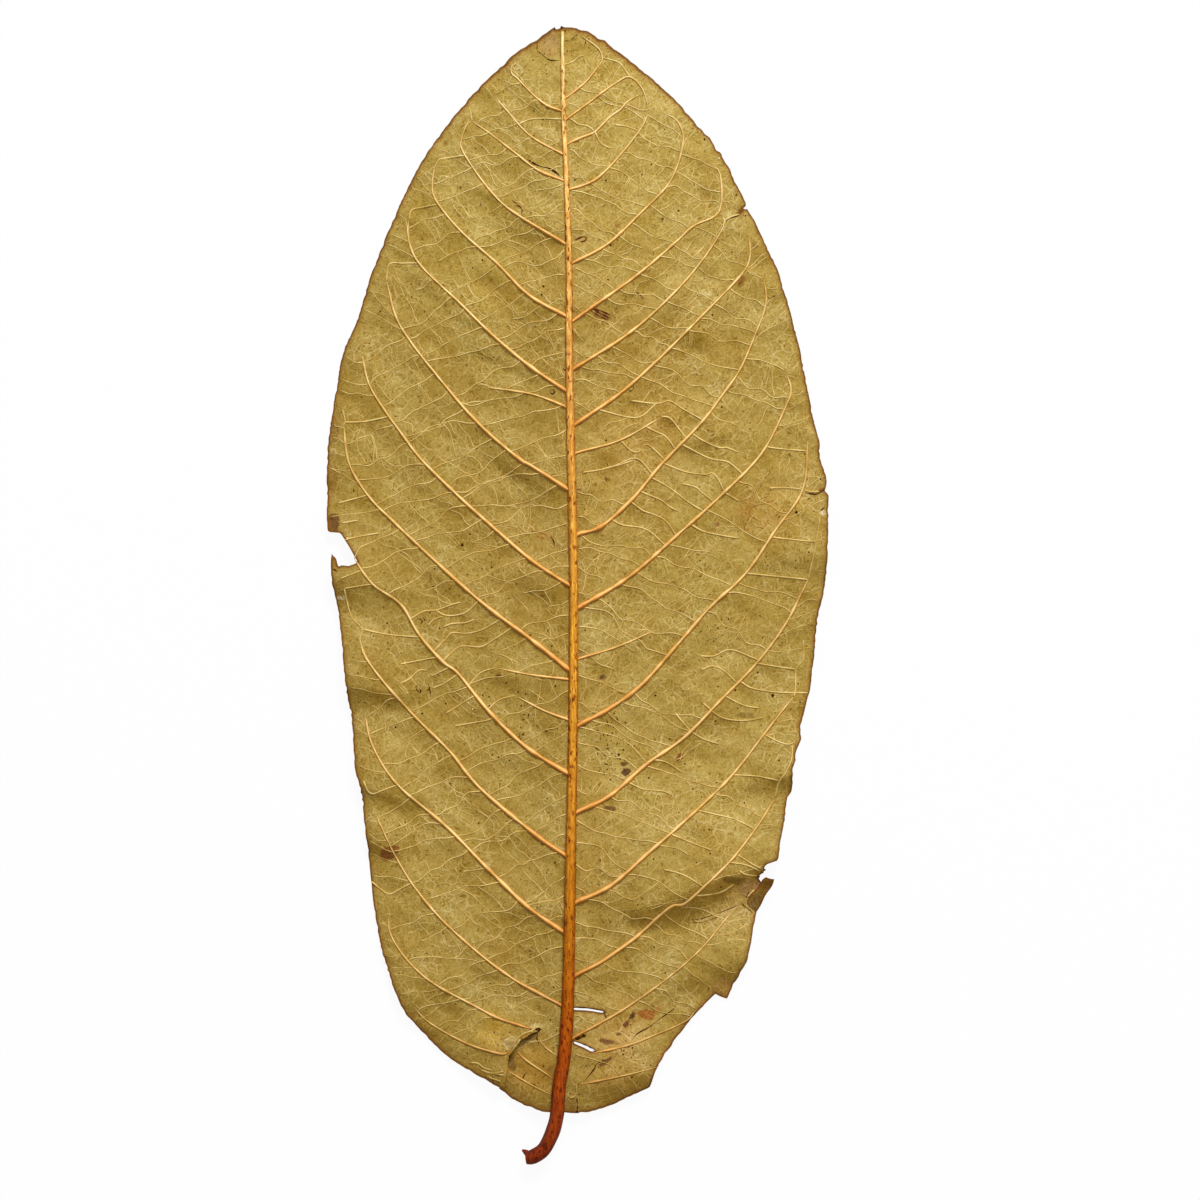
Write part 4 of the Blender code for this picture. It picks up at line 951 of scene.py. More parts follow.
# Stains, and a few patches of painted shade beside the crease's flap and in the fold by the tab: (x, y,
# half-length, half-width, degrees from +X, colour, strength)
STAINS_AND_PAINTED_SHADE = (
    (6.1, -46.85, 0.28, 0.5, -20, "4A2414", 0.9), (5.45, -47.8, 0.3, 0.4, -30, "6E361A", 0.85),
    (7.8, -46.75, 0.85, 0.5, -15, "A0581E", 0.85), (8.8, -46.25, 0.4, 0.4, 30, "B06C28", 0.8),
    (3.5, -49.65, 0.85, 0.35, -8, "643420", 0.85), (4.6, -48.85, 0.22, 0.16, 0, "5A3422", 0.9),
    (2.9, -52.0, 0.5, 0.35, 40, "643A18", 0.8), (3.6, -51.5, 0.3, 0.15, 60, "5A3018", 0.8),
    (-20.8, -28.6, 1.1, 0.6, 35, "82461E", 0.85), (2.8, -9.1, 0.5, 0.35, 0, "4A261A", 0.85),
    (5.5, -19.7, 0.45, 0.42, 0, "4A1C0C", 0.9), (5.3, -18.75, 0.5, 0.28, 10, "582410", 0.85),
    (3.7, -23.8, 0.5, 0.25, -10, "5A3016", 0.8), (-3.0, 61.1, 1.1, 1.3, 0, "C09A62", 0.7),
    (5.9, 54.3, 0.9, 0.4, 0, "C89A64", 0.5), (-0.6, -56.7, 0.5, 0.8, 0, "86642C", 0.6),
    (-7.3, -49.6, 0.8, 0.5, 30, "C8B078", 0.45), (16.2, -43.7, 1.2, 1.1, 0, "AF823C", 0.7),
    (-27.1, 7.2, 0.6, 0.3, 0, "3C230C", 0.9), (-27.2, 7.9, 0.7, 1.2, 0, "5C3214", 0.85),
    (27.5, 9.1, 0.35, 0.2, 0, "D8C89A", 0.7), (-26.3, -0.3, 0.45, 0.15, 0, "E6D8B0", 0.8),
    # Below: the first entry is partly painted highlight on the folded edge above the crease's head, the
    # second is painted shadow beside the flap's lower edge.
    (-4.4, -47.85, 0.5, 0.18, 0, "DCC890", 0.7), (-7.2, -51.9, 0.9, 0.3, -80, "6E5020", 0.7),
    # The first entry below is painted shadow under the flap's folded edge.
    (-5.3, -49.2, 0.8, 0.35, 20, "6A4A28", 0.6), (20.1, -32.2, 0.3, 0.7, 0, "AC8470", 0.9),
    # Below: painted shade in the fold's lee beside the tab, in part for the first entry and in full for the
    # second.
    (19.0, -32.6, 1.0, 1.1, 0, "A4784A", 0.6), (17.6, -31.7, 1.5, 0.45, -8, "705212", 0.7),
    (2.6, 30.9, 1.1, 0.3, -15, "744020", 0.6), (-8.8, -9.0, 0.4, 0.28, 30, "5A2C14", 0.9),
    (11.5, -18.0, 0.45, 0.3, 70, "7A3A12", 0.9), (18.3, 34.9, 0.7, 0.3, 60, "8A5424", 0.8),
    (-2.9, -52.9, 0.9, 0.5, 60, "8A6428", 0.5), (-4.0, 6.7, 0.9, 0.3, -15, "B0803C", 0.4),
    (15.7, 7.9, 0.3, 0.25, 0, "8A4A2C", 0.75), (18.7, -13.4, 1.4, 0.3, -5, "7A5A20", 0.55),
    (18.8, 9.6, 1.4, 0.7, 60, "B27E40", 0.4), (21.5, 8.4, 1.2, 0.6, 0, "B08442", 0.35),
    (-27.2, 13.0, 0.6, 1.6, 0, "8A5E26", 0.55), (-27.0, 18.5, 0.5, 1.2, 0, "8A5E26", 0.5),
    (19.6, 38.9, 0.6, 0.5, 0, "94662E", 0.5), (4.4, 40.9, 0.35, 0.2, 20, "8A5426", 0.6),
)
NO_STAIN_OR_SHADE = -9.0  # depth where none of the stains and patches of painted shade lies


def lamina_colour(x, y, edge, slope):
    """Linear colour of the blade: one colour raised to a level that goes by place, with a slow mottle,
    and painted shade, darker and more olive, where the blade rises to the tip and so faces away from
    the softbox. Also the colour of the nearest of the stains, some of which are painted shade, with the
    depth in millimetres inside its border as alpha."""
    out = x - midrib_x(y)
    level = np.interp(y, *LEVELS) * (1 + SIDE_LEVEL[0] * np.clip(x / SIDE_LEVEL[1], -1, 1))
    left = LEFT_DULL[0] * (out < 0) * np.exp(-((out / LEFT_DULL[1]) ** 2))
    level *= 1 - left - RIM_DULL[0] * np.exp(-((edge / RIM_DULL[1]) ** 2))
    mottle = 1 + sum(strength * ripple(x, y, pitch, seed) for strength, pitch, seed in MOTTLES)
    colour = np.array(linear(LAMINA)[:3]) * level[:, None] ** TINT_POWERS * mottle[:, None] ** MOTTLE_POWERS
    # Painted shade: darker and more olive where the blade faces away from the softbox
    colour *= np.clip(1 - slope, *SHADE_LIMITS)[:, None] ** OLIVE_PAINTED_SHADE
    for cx, cy, reach, change in PATCHES:
        near = np.exp(-(((x - cx) ** 2 + (y - cy) ** 2) / reach**2))
        colour *= np.array(change) ** near[:, None]
    stain_and_shade = np.column_stack([colour, np.full(len(x), NO_STAIN_OR_SHADE)])
    for cx, cy, length, width, degrees, code, strength in STAINS_AND_PAINTED_SHADE:
        turn = math.radians(degrees)
        along = ((x - cx) * math.cos(turn) + (y - cy) * math.sin(turn)) / length
        across = ((y - cy) * math.cos(turn) - (x - cx) * math.sin(turn)) / width
        depth = (1 - np.hypot(along, across)) * min(length, width)
        mixed = colour + strength * (np.array(linear(code)[:3]) - colour)
        stain_and_shade = np.where((depth > stain_and_shade[:, 3])[:, None], np.column_stack([mixed, depth]), stain_and_shade)
    return np.column_stack([colour, np.ones(len(x))]), stain_and_shade


# Cracks, and dark lines of painted shadow at the crease and under a lateral beside a split: half-width, then
# the points
CRACKS_AND_SHADOW_LINES = (
    (0.14, ((-5.55, 48.4), (-4.9, 47.95), (-4.2, 47.6), (-3.1, 47.3), (-2.3, 46.8), (-1.7, 46.25))),
    (0.07, ((2.9, -46.4), (3.4, -47.2))), (0.08, ((3.4, -51.5), (2.2, -52.1), (1.8, -52.8), (0.7, -54.1))),
    (0.06, ((-1.05, -55.8), (-0.7, -55.78))), (0.09, ((0.0, -55.8), (0.05, -57.3))),
    (0.08, ((6.15, -49.45), (6.7, -48.8), (7.85, -48.2), (8.45, -47.8), (9.1, -47.3), (9.75, -46.8),
            (10.5, -46.3), (11.0, -45.75))),
    (0.09, ((-5.6, -53.1), (-5.9, -53.5), (-6.0, -53.8), (-5.5, -54.2), (-4.3, -54.7))),
    (0.08, ((-17.5, -10.0), (-17.4, -11.0))), (0.07, ((-16.5, -9.9), (-16.3, -11.2))),
    (0.07, ((22.8, 33.6), (21.3, 32.9))), (0.09, ((27.5, 11.8), (27.0, 11.35), (26.4, 11.2), (25.2, 11.4))),
    (0.05, ((-1.35, 61.55), (-0.9, 61.6))),
    (0.07, ((-4.45, 60.5), (-4.0, 60.2), (-3.55, 59.8), (-3.0, 59.45), (-1.9, 59.4))),
    (0.07, ((-27.1, 2.9), (-26.5, 2.6))), (0.06, ((3.2, -13.7), (3.6, -14.8))),
    (0.06, ((4.4, -13.5), (4.6, -14.3))), (0.06, ((2.0, -15.0), (2.5, -15.15))),
    (0.06, ((2.0, -16.9), (2.4, -17.3))), (0.06, ((3.1, -18.7), (3.6, -19.0))),
    (0.07, ((4.2, -17.9), (4.6, -18.3))), (0.07, ((4.0, -13.1), (4.3, -13.2))),
    (0.05, ((2.6, -15.8), (2.65, -16.2))), (0.06, ((2.9, -15.3), (3.0, -15.8))),
    (0.06, ((3.0, -19.6), (3.05, -20.3))), (0.06, ((3.4, -16.5), (3.45, -16.9))),
    (0.07, ((5.6, -14.5), (5.85, -14.65))), (0.09, ((1.7, -50.6), (2.15, -50.85))),
    # Below: painted shade in the crease's head, then painted shadow under the flap's folded edge.
    (0.2, ((-5.2, -48.25), (-4.5, -48.25), (-3.9, -48.35))),
    (0.15, ((-4.1, -48.4), (-4.4, -48.65), (-5.3, -48.9), (-6.0, -49.15), (-6.6, -49.6))),
    (0.09, ((-4.3, -48.5), (-4.45, -49.3), (-4.2, -50.0))), (0.07, ((-7.75, -50.65), (-7.95, -50.6))),
    # The first entry below is painted shadow under the lateral beside the lower split.
    (0.22, ((-0.2, -49.4), (0.5, -49.1), (1.0, -48.9))), (0.05, ((-4.4, 61.55), (-4.45, 60.5))),
    (0.07, ((-0.3, -45.83), (1.2, -45.93), (2.9, -46.22), (3.2, -46.5))),
    (0.07, ((0.5, -49.85), (1.8, -50.4))), (0.05, ((18.0, 42.2), (17.0, 41.85), (16.4, 41.4))),
    (0.08, ((27.6, 9.8), (27.0, 9.3))), (0.06, ((-0.7, 61.65), (0.1, 62.35))),
    (0.05, ((0.45, 62.1), (1.0, 61.55), (0.8, 61.1))),
    (0.06, ((18.3, -34.2), (18.6, -34.6), (19.2, -35.0), (19.5, -35.4))),
    (0.06, ((18.75, -33.7), (19.15, -33.0))),
    # Below: painted shadow beside the flap's lower edge.
    (0.1, ((-7.0, -50.2), (-7.5, -51.1), (-7.75, -52.2), (-7.85, -53.2), (-8.1, -54.6))),
    (0.06, ((-9.35, -53.1), (-8.7, -53.35), (-8.1, -53.3))), (0.06, ((-9.3, -54.2), (-9.4, -53.2))),
    (0.09, ((-2.95, 22.75), (-3.0, 22.45), (-2.75, 22.3), (-2.5, 22.5), (-2.6, 22.8), (-2.9, 22.8))),
    (0.07, ((5.7, 22.9), (5.9, 22.65), (6.2, 22.8), (6.3, 23.1), (6.2, 23.4))),
    (0.06, ((-17.7, -9.9), (-17.9, -10.4), (-17.5, -10.9))),
    (0.06, ((-16.6, -9.9), (-16.4, -10.4), (-16.9, -10.7))),
)
# Red-brown scars, in the same way
SCARS = (
    (0.13, ((-0.3, 39.3), (0.2, 39.5), (0.75, 39.7), (1.05, 39.5), (0.85, 39.2), (0.3, 39.1))),
    (0.18, ((1.3, 31.85), (2.0, 31.6), (2.6, 31.2))), (0.11, ((2.0, 31.75), (2.9, 31.4), (3.8, 31.0))),
    (0.11, ((2.2, 31.4), (3.0, 31.05), (3.75, 30.65))), (0.09, ((2.3, 31.0), (3.0, 30.7), (3.5, 30.5))),
    (0.08, ((1.5, 31.5), (2.0, 31.2), (2.5, 30.9))), (0.08, ((-7.25, 43.8), (-6.7, 43.45), (-6.2, 43.0))),
    (0.08, ((-6.9, 43.2), (-6.4, 43.1), (-6.05, 42.6), (-6.2, 42.25))),
    (0.12, ((6.6, 33.6), (7.0, 33.3), (7.3, 33.0))), (0.09, ((-1.55, 25.1), (-1.1, 24.9), (-0.9, 25.2))),
    (0.05, ((12.6, -36.1), (13.9, -36.0), (16.7, -35.0), (18.1, -34.4))),
    (0.05, ((12.6, -36.5), (14.0, -36.4), (16.0, -35.7))), (0.09, ((-3.0, 6.6), (-2.6, 6.0), (-2.5, 5.2))),
    (0.1, ((-17.6, -2.6), (-17.2, -2.9), (-17.4, -3.2))), (0.09, ((-17.1, -2.5), (-16.9, -2.9))),
    (0.1, ((-16.2, 0.95), (-15.8, 0.9))),
)
# Orange-brown curls of lifted skin, in the same way
CURLS = (
    (0.09, ((19.2, 8.7), (18.9, 8.0), (18.6, 7.4), (19.2, 7.2))),
    (0.07, ((19.3, 9.7), (20.2, 10.0), (21.0, 10.2), (22.0, 10.6))),
    (0.07, ((19.3, 9.6), (19.2, 8.9), (20.0, 8.4))), (0.06, ((19.9, 7.6), (20.8, 7.4))),
    (0.06, ((20.3, 10.6), (21.3, 11.0))), (0.07, ((18.4, 35.6), (18.3, 34.9), (18.0, 34.3))),
    (0.06, ((-5.0, 7.1), (-4.2, 7.0), (-3.3, 6.6))), (0.06, ((-4.4, 6.5), (-3.6, 6.2))),
)
MARK_HEIGHT = 0.03
MARK_STEP = 0.15
SPECK_DRAWS = 2080  # places drawn for dark gland dots, of which many fall away
MOST_SPECKS = 1040
SPECK_RADIUS = (0.06, 0.14)
SPECK_MARGIN = 0.5  # none lies nearer to the margin
SPECK_SIDES = 8
# Larger dots with known places: (x, y, radius)
MARKED_SPECKS = (
    (-1.7, 63.1, 0.16), (-2.5, 63.0, 0.12), (-1.3, 62.7, 0.09), (1.3, 61.8, 0.09), (-3.55, 61.4, 0.09),
    (-1.1, 60.45, 0.09), (-0.65, 60.45, 0.09), (-0.35, 60.5, 0.08), (0.0, 60.5, 0.08), (-3.6, 60.2, 0.09),
    (-3.5, 58.95, 0.09), (16.2, 41.0, 0.14), (24.4, 9.2, 0.2), (22.5, 8.7, 0.12), (25.8, 10.7, 0.12),
    (25.3, 15.7, 0.12), (23.7, 15.6, 0.12), (27.1, 12.9, 0.12), (14.2, 50.7, 0.14), (17.7, 44.5, 0.14),
    (-3.7, -52.35, 0.13), (20.2, -31.3, 0.13), (20.6, -30.8, 0.12), (20.85, -30.5, 0.11),
    (16.1, 20.9, 0.14), (21.8, -11.1, 0.14), (0.0, -57.4, 0.14), (0.2, -54.3, 0.1), (-3.4, 57.9, 0.08),
    (12.0, -18.8, 0.12), (13.7, 2.1, 0.12), (-3.7, 34.2, 0.17), (-3.9, 33.3, 0.14), (3.7, 38.8, 0.16),
    (11.3, 42.7, 0.16), (9.5, 41.8, 0.15), (-1.8, 46.0, 0.2), (3.2, 46.0, 0.14), (-10.5, 37.2, 0.14),
    (5.4, -14.2, 0.13), (12.9, -21.6, 0.13), (10.3, -16.0, 0.12), (8.5, -29.3, 0.12), (18.6, -23.1, 0.12),
    (16.3, -22.6, 0.12), (20.1, -8.6, 0.15), (21.8, -11.2, 0.22), (17.6, -10.6, 0.15), (17.9, -12.6, 0.11),
    (18.0, -14.1, 0.12), (15.4, -14.0, 0.13), (20.5, -14.5, 0.11), (24.8, -11.9, 0.14), (-6.5, -10.8, 0.13),
    (-5.7, -11.0, 0.12), (-6.2, -12.3, 0.12), (-5.4, -13.4, 0.14), (-5.9, -13.3, 0.12), (-4.9, -13.3, 0.12),
    (-6.0, -15.5, 0.15), (-2.8, -5.7, 0.13), (-2.4, -10.1, 0.13), (-14.6, -12.1, 0.13), (-12.8, 5.6, 0.2),
    (-11.9, 6.8, 0.13), (-5.4, 0.4, 0.14), (-7.6, -0.4, 0.11), (-15.3, -3.7, 0.12), (-12.6, 5.0, 0.1),
    (-9.5, 3.1, 0.13),
)
# Pale crumbs: (x, y, radius)
CRUMBS = (
    (25.6, 12.1, 0.14), (15.8, 48.55, 0.14), (-25.5, 6.3, 0.14), (-25.2, 6.8, 0.1), (-14.9, 46.1, 0.11),
    (-14.5, 46.5, 0.13), (-14.2, 46.2, 0.1), (-14.6, 45.9, 0.09), (-13.9, 46.4, 0.08), (8.3, 11.6, 0.1),
    (-12.1, -12.0, 0.12), (-11.6, -12.7, 0.12),
)
# Where more specks crowd: (x, y, reach, number)
SPECK_CROWDS = ((4.8, -17.2, 3.2, 62), (-6.9, -15.0, 5.0, 52), (15.3, -4.0, 2.5, 26), (5.0, -52.0, 3.0, 26))

# The torn tab that curls up at the lower right: its inner and its outer edge, from its root to its tip
TAB_INNER = ((18.3, -34.3), (18.7, -34.05), (19.05, -33.75), (19.5, -33.05), (19.85, -32.8), (20.2, -32.45),
             (20.4, -32.0), (20.65, -31.6), (21.0, -31.35))
TAB_OUTER = ((20.0, -35.2), (20.4, -34.45), (20.7, -33.9), (21.15, -33.1), (21.5, -32.5), (21.7, -32.0),
             (21.8, -31.6))
TAB_GRID = (36, 14)  # rows and columns
TAB_THICKNESS = 0.24
TAB_RISE = 0.9
TAB_RISE_POWER = 1.1
TAB_LENGTH = 4.0
TAB_TOP = 3.3  # the solid's top, over which it doesn't rise
TAB_ROOT = 0.2  # how deep its root is sunk in the blade
TAB_ROOT_SHARE = 0.25  # share of its length over which it comes out of the blade
TAB_WAVER = 0.06
# Colours from its root to its tip
TAB_COLOURS = ((0.0, "907238"), (0.3, "826530"), (0.65, "72541E"), (1.0, "6A4A18"))


# ---- materials
def fill(tree, made, sockets):
    """sockets maps an input's name or number to a value, or to an output that is linked to it."""
    for key, value in sockets.items():
        if isinstance(value, bpy.types.NodeSocket):
            tree.links.new(value, made.inputs[key])
        else:
            made.inputs[key].default_value = value


def node(tree, kind, sockets=None, stops=(), **settings):
    """Adds a shader node and fills its inputs. stops fills a colour ramp: its first stop, its last stop,
    and then those in between."""
    made = tree.nodes.new("ShaderNode" + kind)
    for key, value in settings.items():
        setattr(made, key, value)
    fill(tree, made, sockets or {})
    for index, (place, colour) in enumerate(stops):
        ramp = made.color_ramp.elements
        stop = ramp[index] if index < 2 else ramp.new(place)
        stop.position, stop.color = place, colour
    return made


# Settings of nodes. A Mix node's two colours are its inputs 6 and 7, and its output 2 is the mixed one.
BLEND = {"data_type": "RGBA"}
MULTIPLY = {"data_type": "RGBA", "blend_type": "MULTIPLY", "clamp_factor": False}
FLAT_CELLS = {"voronoi_dimensions": "2D"}
WHITE = (1.0, 1.0, 1.0, 1.0)


def new_material(name):
    """An empty material with its tree and its Principled shader."""
    material = bpy.data.materials.new(name)
    material.use_nodes = True
    tree = material.node_tree
    return material, tree, tree.nodes["Principled BSDF"]


def along_leaf(tree, place):
    """Share of the way from the stalk's end to the tip."""
    split = node(tree, "SeparateXYZ", {0: place})
    return node(tree, "MapRange", {"Value": split.outputs["Y"], "From Min": -HALF_LENGTH * MM,
                                   "From Max": HALF_LENGTH * MM}).outputs["Result"]


def grey(value):
    """A grey of this linear value."""
    return (value, value, value, 1.0)


def bent_place(tree, place):
    """Coordinates that waver by up to a quarter of a millimetre about every millimetre, and sway by up
    to half a millimetre about every four, so that patterns on them bend about."""
    bent = place
    for scale, reach in ((900.0, 0.0009), (260.0, 0.0022)):
        noise = node(tree, "TexNoise", {"Vector": place, "Scale": scale, "Detail": 1.0})
        centred = node(tree, "VectorMath", {0: noise.outputs["Color"], 1: (0.5, 0.5, 0.5)},
                       operation="SUBTRACT")
        shift = node(tree, "VectorMath", {0: centred.outputs[0], "Scale": reach}, operation="SCALE")
        bent = node(tree, "VectorMath", {0: bent, 1: shift.outputs[0]}, operation="ADD").outputs[0]
    return bent


def finest_net(tree, bent, patches):
    """The raised net of the finest veins: meshes 1.1 mm wide, drawn coarser than life so that they show,
    with meshes of 0.4 mm in them. It shows in some patches and hardly at all in others. Returns the way
    from the lines of the coarse net, and the relief of both nets."""
    coarse, fine = (node(tree, "TexVoronoi", {"Vector": bent, "Scale": scale},
                         feature="DISTANCE_TO_EDGE", **FLAT_CELLS).outputs["Distance"]
                    for scale in (900.0, 2700.0))
    ridge, small = (node(tree, "MapRange", {"Value": distance, "From Max": width,
                                            "To Min": 1.0, "To Max": 0.0},
                         interpolation_type="SMOOTHSTEP").outputs["Result"]
                    for distance, width in ((coarse, 0.12), (fine, 0.3)))
    both = node(tree, "Math", {0: small, 1: 0.35, 2: ridge}, operation="MULTIPLY_ADD").outputs[0]
    clear = node(tree, "MapRange", {"Value": patches, "From Min": 0.38, "From Max": 0.62,
                                    "To Min": 0.1, "To Max": 0.42}).outputs["Result"]
    return coarse, node(tree, "Math", {0: both, 1: clear}, operation="MULTIPLY").outputs[0]


def stained_and_shaded(tree, grain, mottle):
    """The blade's own colour with its stains and its patches of painted shade, whose borders are ragged by a
    few tenths of a millimetre.
    """
    tint = node(tree, "Attribute", attribute_name="tint").outputs["Color"]
    stain_and_shade = node(tree, "Attribute", attribute_name="stain_and_shade")
    ragged = node(tree, "Math", {0: mottle, 1: 1.1, 2: -0.55}, operation="MULTIPLY_ADD").outputs[0]
    ragged = node(tree, "Math", {0: grain, 1: 0.35, 2: ragged}, operation="MULTIPLY_ADD").outputs[0]
    depth = node(tree, "Math", {0: ragged, 1: stain_and_shade.outputs["Alpha"]}, operation="ADD").outputs[0]
    covers = node(tree, "MapRange", {"Value": depth, "From Min": 0.08, "From Max": 0.2,
                                     "To Max": 0.96}).outputs["Result"]
    return node(tree, "Mix", {"Factor": covers, 6: tint, 7: stain_and_shade.outputs["Color"]}, **BLEND).outputs[2]


def toned(tree, colour, grain, mottle, relief, shade):
    """The colour made pale on the net's lines and dull between them, which is partly painted shade in the low
    tissue between the raised lines, with a mottle of 1 to 2 mm.
    """
    level = node(tree, "Math", {0: grain, 1: 0.95, 2: relief}, operation="MULTIPLY_ADD").outputs[0]
    net_tone = node(tree, "ValToRGB", {"Fac": level}, stops=(
        (0.28, (0.87 * shade, 0.81 * shade, 0.48 * shade, 1)),
        (0.95, (1.14 * shade, 1.22 * shade, 1.65 * shade, 1)),
        (0.58, (1.03 * shade, 1.04 * shade, 1.04 * shade, 1)))).outputs["Color"]
    mottle_tone = node(tree, "ValToRGB", {"Fac": mottle}, stops=(
        (0.32, (0.92, 0.89, 0.71, 1)), (0.68, (1.08, 1.1, 1.24, 1)))).outputs["Color"]
    for tone in (net_tone, mottle_tone):
        colour = node(tree, "Mix", {"Factor": 1.0, 6: colour, 7: tone}, **MULTIPLY).outputs[2]
    return colour


def netted(tree, colour, net, patches):
    """The colour with pale veinlets, and a darker line along each: painted shade beside the raised veinlet.
    """
    veinlet = node(tree, "ValToRGB", {"Fac": net}, stops=(
        (0.03, (1.09, 1.12, 1.2, 1)), (0.27, WHITE), (0.08, (1.04, 1.05, 1.06, 1)),
        (0.12, (0.88, 0.83, 0.68, 1)), (0.17, (0.92, 0.89, 0.78, 1)))).outputs["Color"]
    shown = node(tree, "MapRange", {"Value": patches, "From Min": 0.36, "From Max": 0.6,
                                    "To Min": 0.1, "To Max": 0.8}).outputs["Result"]
    return node(tree, "Mix", {"Factor": shown, 6: colour, 7: veinlet}, **MULTIPLY).outputs[2]


def wrinkled(tree, colour, bent):
    """The colour with hair-thin wrinkles that run in loops, each a dark line of painted shade with a pale
    line of painted highlight beside it.
    """
    dark, less_dark = (0.7, 0.6, 0.34, 1), (0.74, 0.65, 0.4, 1)
    pale, paler = (1.1, 1.15, 1.3, 1), (1.14, 1.2, 1.45, 1)
    for scale, strength in ((1150.0, 0.4), (2300.0, 0.66)):
        loops = node(tree, "TexNoise", {"Vector": bent, "Scale": scale, "Detail": 1.0}).outputs["Fac"]
        wrinkle = node(tree, "ValToRGB", {"Fac": loops}, stops=(
            (0.0, WHITE), (1.0, WHITE), (0.395, WHITE), (0.415, dark), (0.45, dark), (0.475, paler),
            (0.5, pale), (0.53, WHITE), (0.6, WHITE), (0.62, less_dark), (0.65, less_dark),
            (0.67, pale), (0.7, WHITE))).outputs["Color"]
        colour = node(tree, "Mix", {"Factor": strength, 6: colour, 7: wrinkle}, **MULTIPLY).outputs[2]
    return colour


def pitted(tree, colour, bent):
    """The colour with dark pits: three in ten of cells 0.36 mm wide hold one."""
    cells = node(tree, "TexVoronoi", {"Vector": bent, "Scale": 2800.0}, **FLAT_CELLS)
    drawn = node(tree, "SeparateColor", {0: cells.outputs["Color"]}).outputs[1]
    size = node(tree, "MapRange", {"Value": drawn, "From Min": 0.66, "From Max": 0.95,
                                   "To Min": -0.1, "To Max": 0.40}).outputs["Result"]
    depth = node(tree, "Math", {0: size, 1: cells.outputs["Distance"]}, operation="SUBTRACT").outputs[0]
    pit = node(tree, "MapRange", {"Value": depth, "From Min": -0.02, "From Max": 0.12,
                                  "To Max": 0.85}).outputs["Result"]
    return node(tree, "Mix", {"Factor": pit, 6: colour, 7: (0.66, 0.54, 0.3, 1)}, **MULTIPLY).outputs[2]


def oil_dotted(tree, colour, bent):
    """The colour with oil dots up to 0.4 mm wide: one in five of cells 1.6 mm wide holds one, and it
    shows where it lies near the face."""
    cells = node(tree, "TexVoronoi", {"Vector": bent, "Scale": 620.0})
    drawn = node(tree, "SeparateColor", {0: cells.outputs["Color"]}).outputs[0]
    size = node(tree, "MapRange", {"Value": drawn, "From Min": 0.8, "From Max": 1.0,
                                   "To Max": 0.12}).outputs["Result"]
    depth = node(tree, "Math", {0: size, 1: cells.outputs["Distance"]}, operation="SUBTRACT").outputs[0]
    dot = node(tree, "MapRange", {"Value": depth, "From Min": -0.01, "From Max": 0.03,
                                  "To Max": 0.75}).outputs["Result"]
    return node(tree, "Mix", {"Factor": dot, 6: colour, 7: linear("5A3A16")}, **BLEND).outputs[2]


def browned_at_edge(tree, colour, grain):
    """The colour with a dark line at the margin and an orange-brown band behind it."""
    edge = node(tree, "Attribute", attribute_name="edge").outputs["Fac"]
    wavy = node(tree, "Math", {0: grain, 1: 0.3, 2: edge}, operation="MULTIPLY_ADD").outputs[0]
    band = node(tree, "MapRange", {"Value": wavy, "From Min": 0.25, "From Max": 0.8,
                                   "To Min": 0.5, "To Max": 0.0},
                interpolation_type="SMOOTHSTEP").outputs["Result"]
    line = node(tree, "MapRange", {"Value": wavy, "From Min": 0.24, "From Max": 0.4,
                                   "To Min": 0.95, "To Max": 0.0}).outputs["Result"]
    for share, code in ((band, "90601F"), (line, "74460E")):
        colour = node(tree, "Mix", {"Factor": share, 6: colour, 7: linear(code)}, **BLEND).outputs[2]
    return colour


def dried_lamina(name, shade, net_strength):
    """Dried leaf tissue: papery and matt, with the finest veins raised as a net, wrinkles drawn as
    lines of painted shade and highlight, pits and oil dots, and a browned margin. shade scales the whole
    colour."""
    material, tree, shader = new_material(name)
    place = node(tree, "TexCoord").outputs["Object"]
    bent = bent_place(tree, place)
    grain = node(tree, "TexNoise", {"Vector": place, "Scale": 4200.0, "Detail": 3.0,
                                    "Roughness": 0.75}).outputs["Fac"]
    mottle = node(tree, "TexNoise", {"Vector": place, "Scale": 420.0, "Detail": 5.0,
                                     "Roughness": 0.65}).outputs["Fac"]
    patches = node(tree, "TexNoise", {"Vector": place, "Scale": 240.0, "Detail": 2.0}).outputs["Fac"]
    net, relief = finest_net(tree, bent, patches)
    colour = toned(tree, stained_and_shaded(tree, grain, mottle), grain, mottle, relief, shade)
    colour = netted(tree, colour, net, patches)
    colour = wrinkled(tree, colour, bent)
    colour = pitted(tree, colour, bent)
    colour = oil_dotted(tree, colour, bent)
    colour = browned_at_edge(tree, colour, grain)
    height = node(tree, "Math", {0: grain, 1: 0.5, 2: relief}, operation="MULTIPLY_ADD").outputs[0]
    bump = node(tree, "Bump", {"Strength": net_strength, "Distance": 0.00004, "Height": height})
    fill(tree, shader, {"Base Color": colour, "Normal": bump.outputs["Normal"], "Roughness": 0.65,
                        "Specular IOR Level": 0.10})
    return material


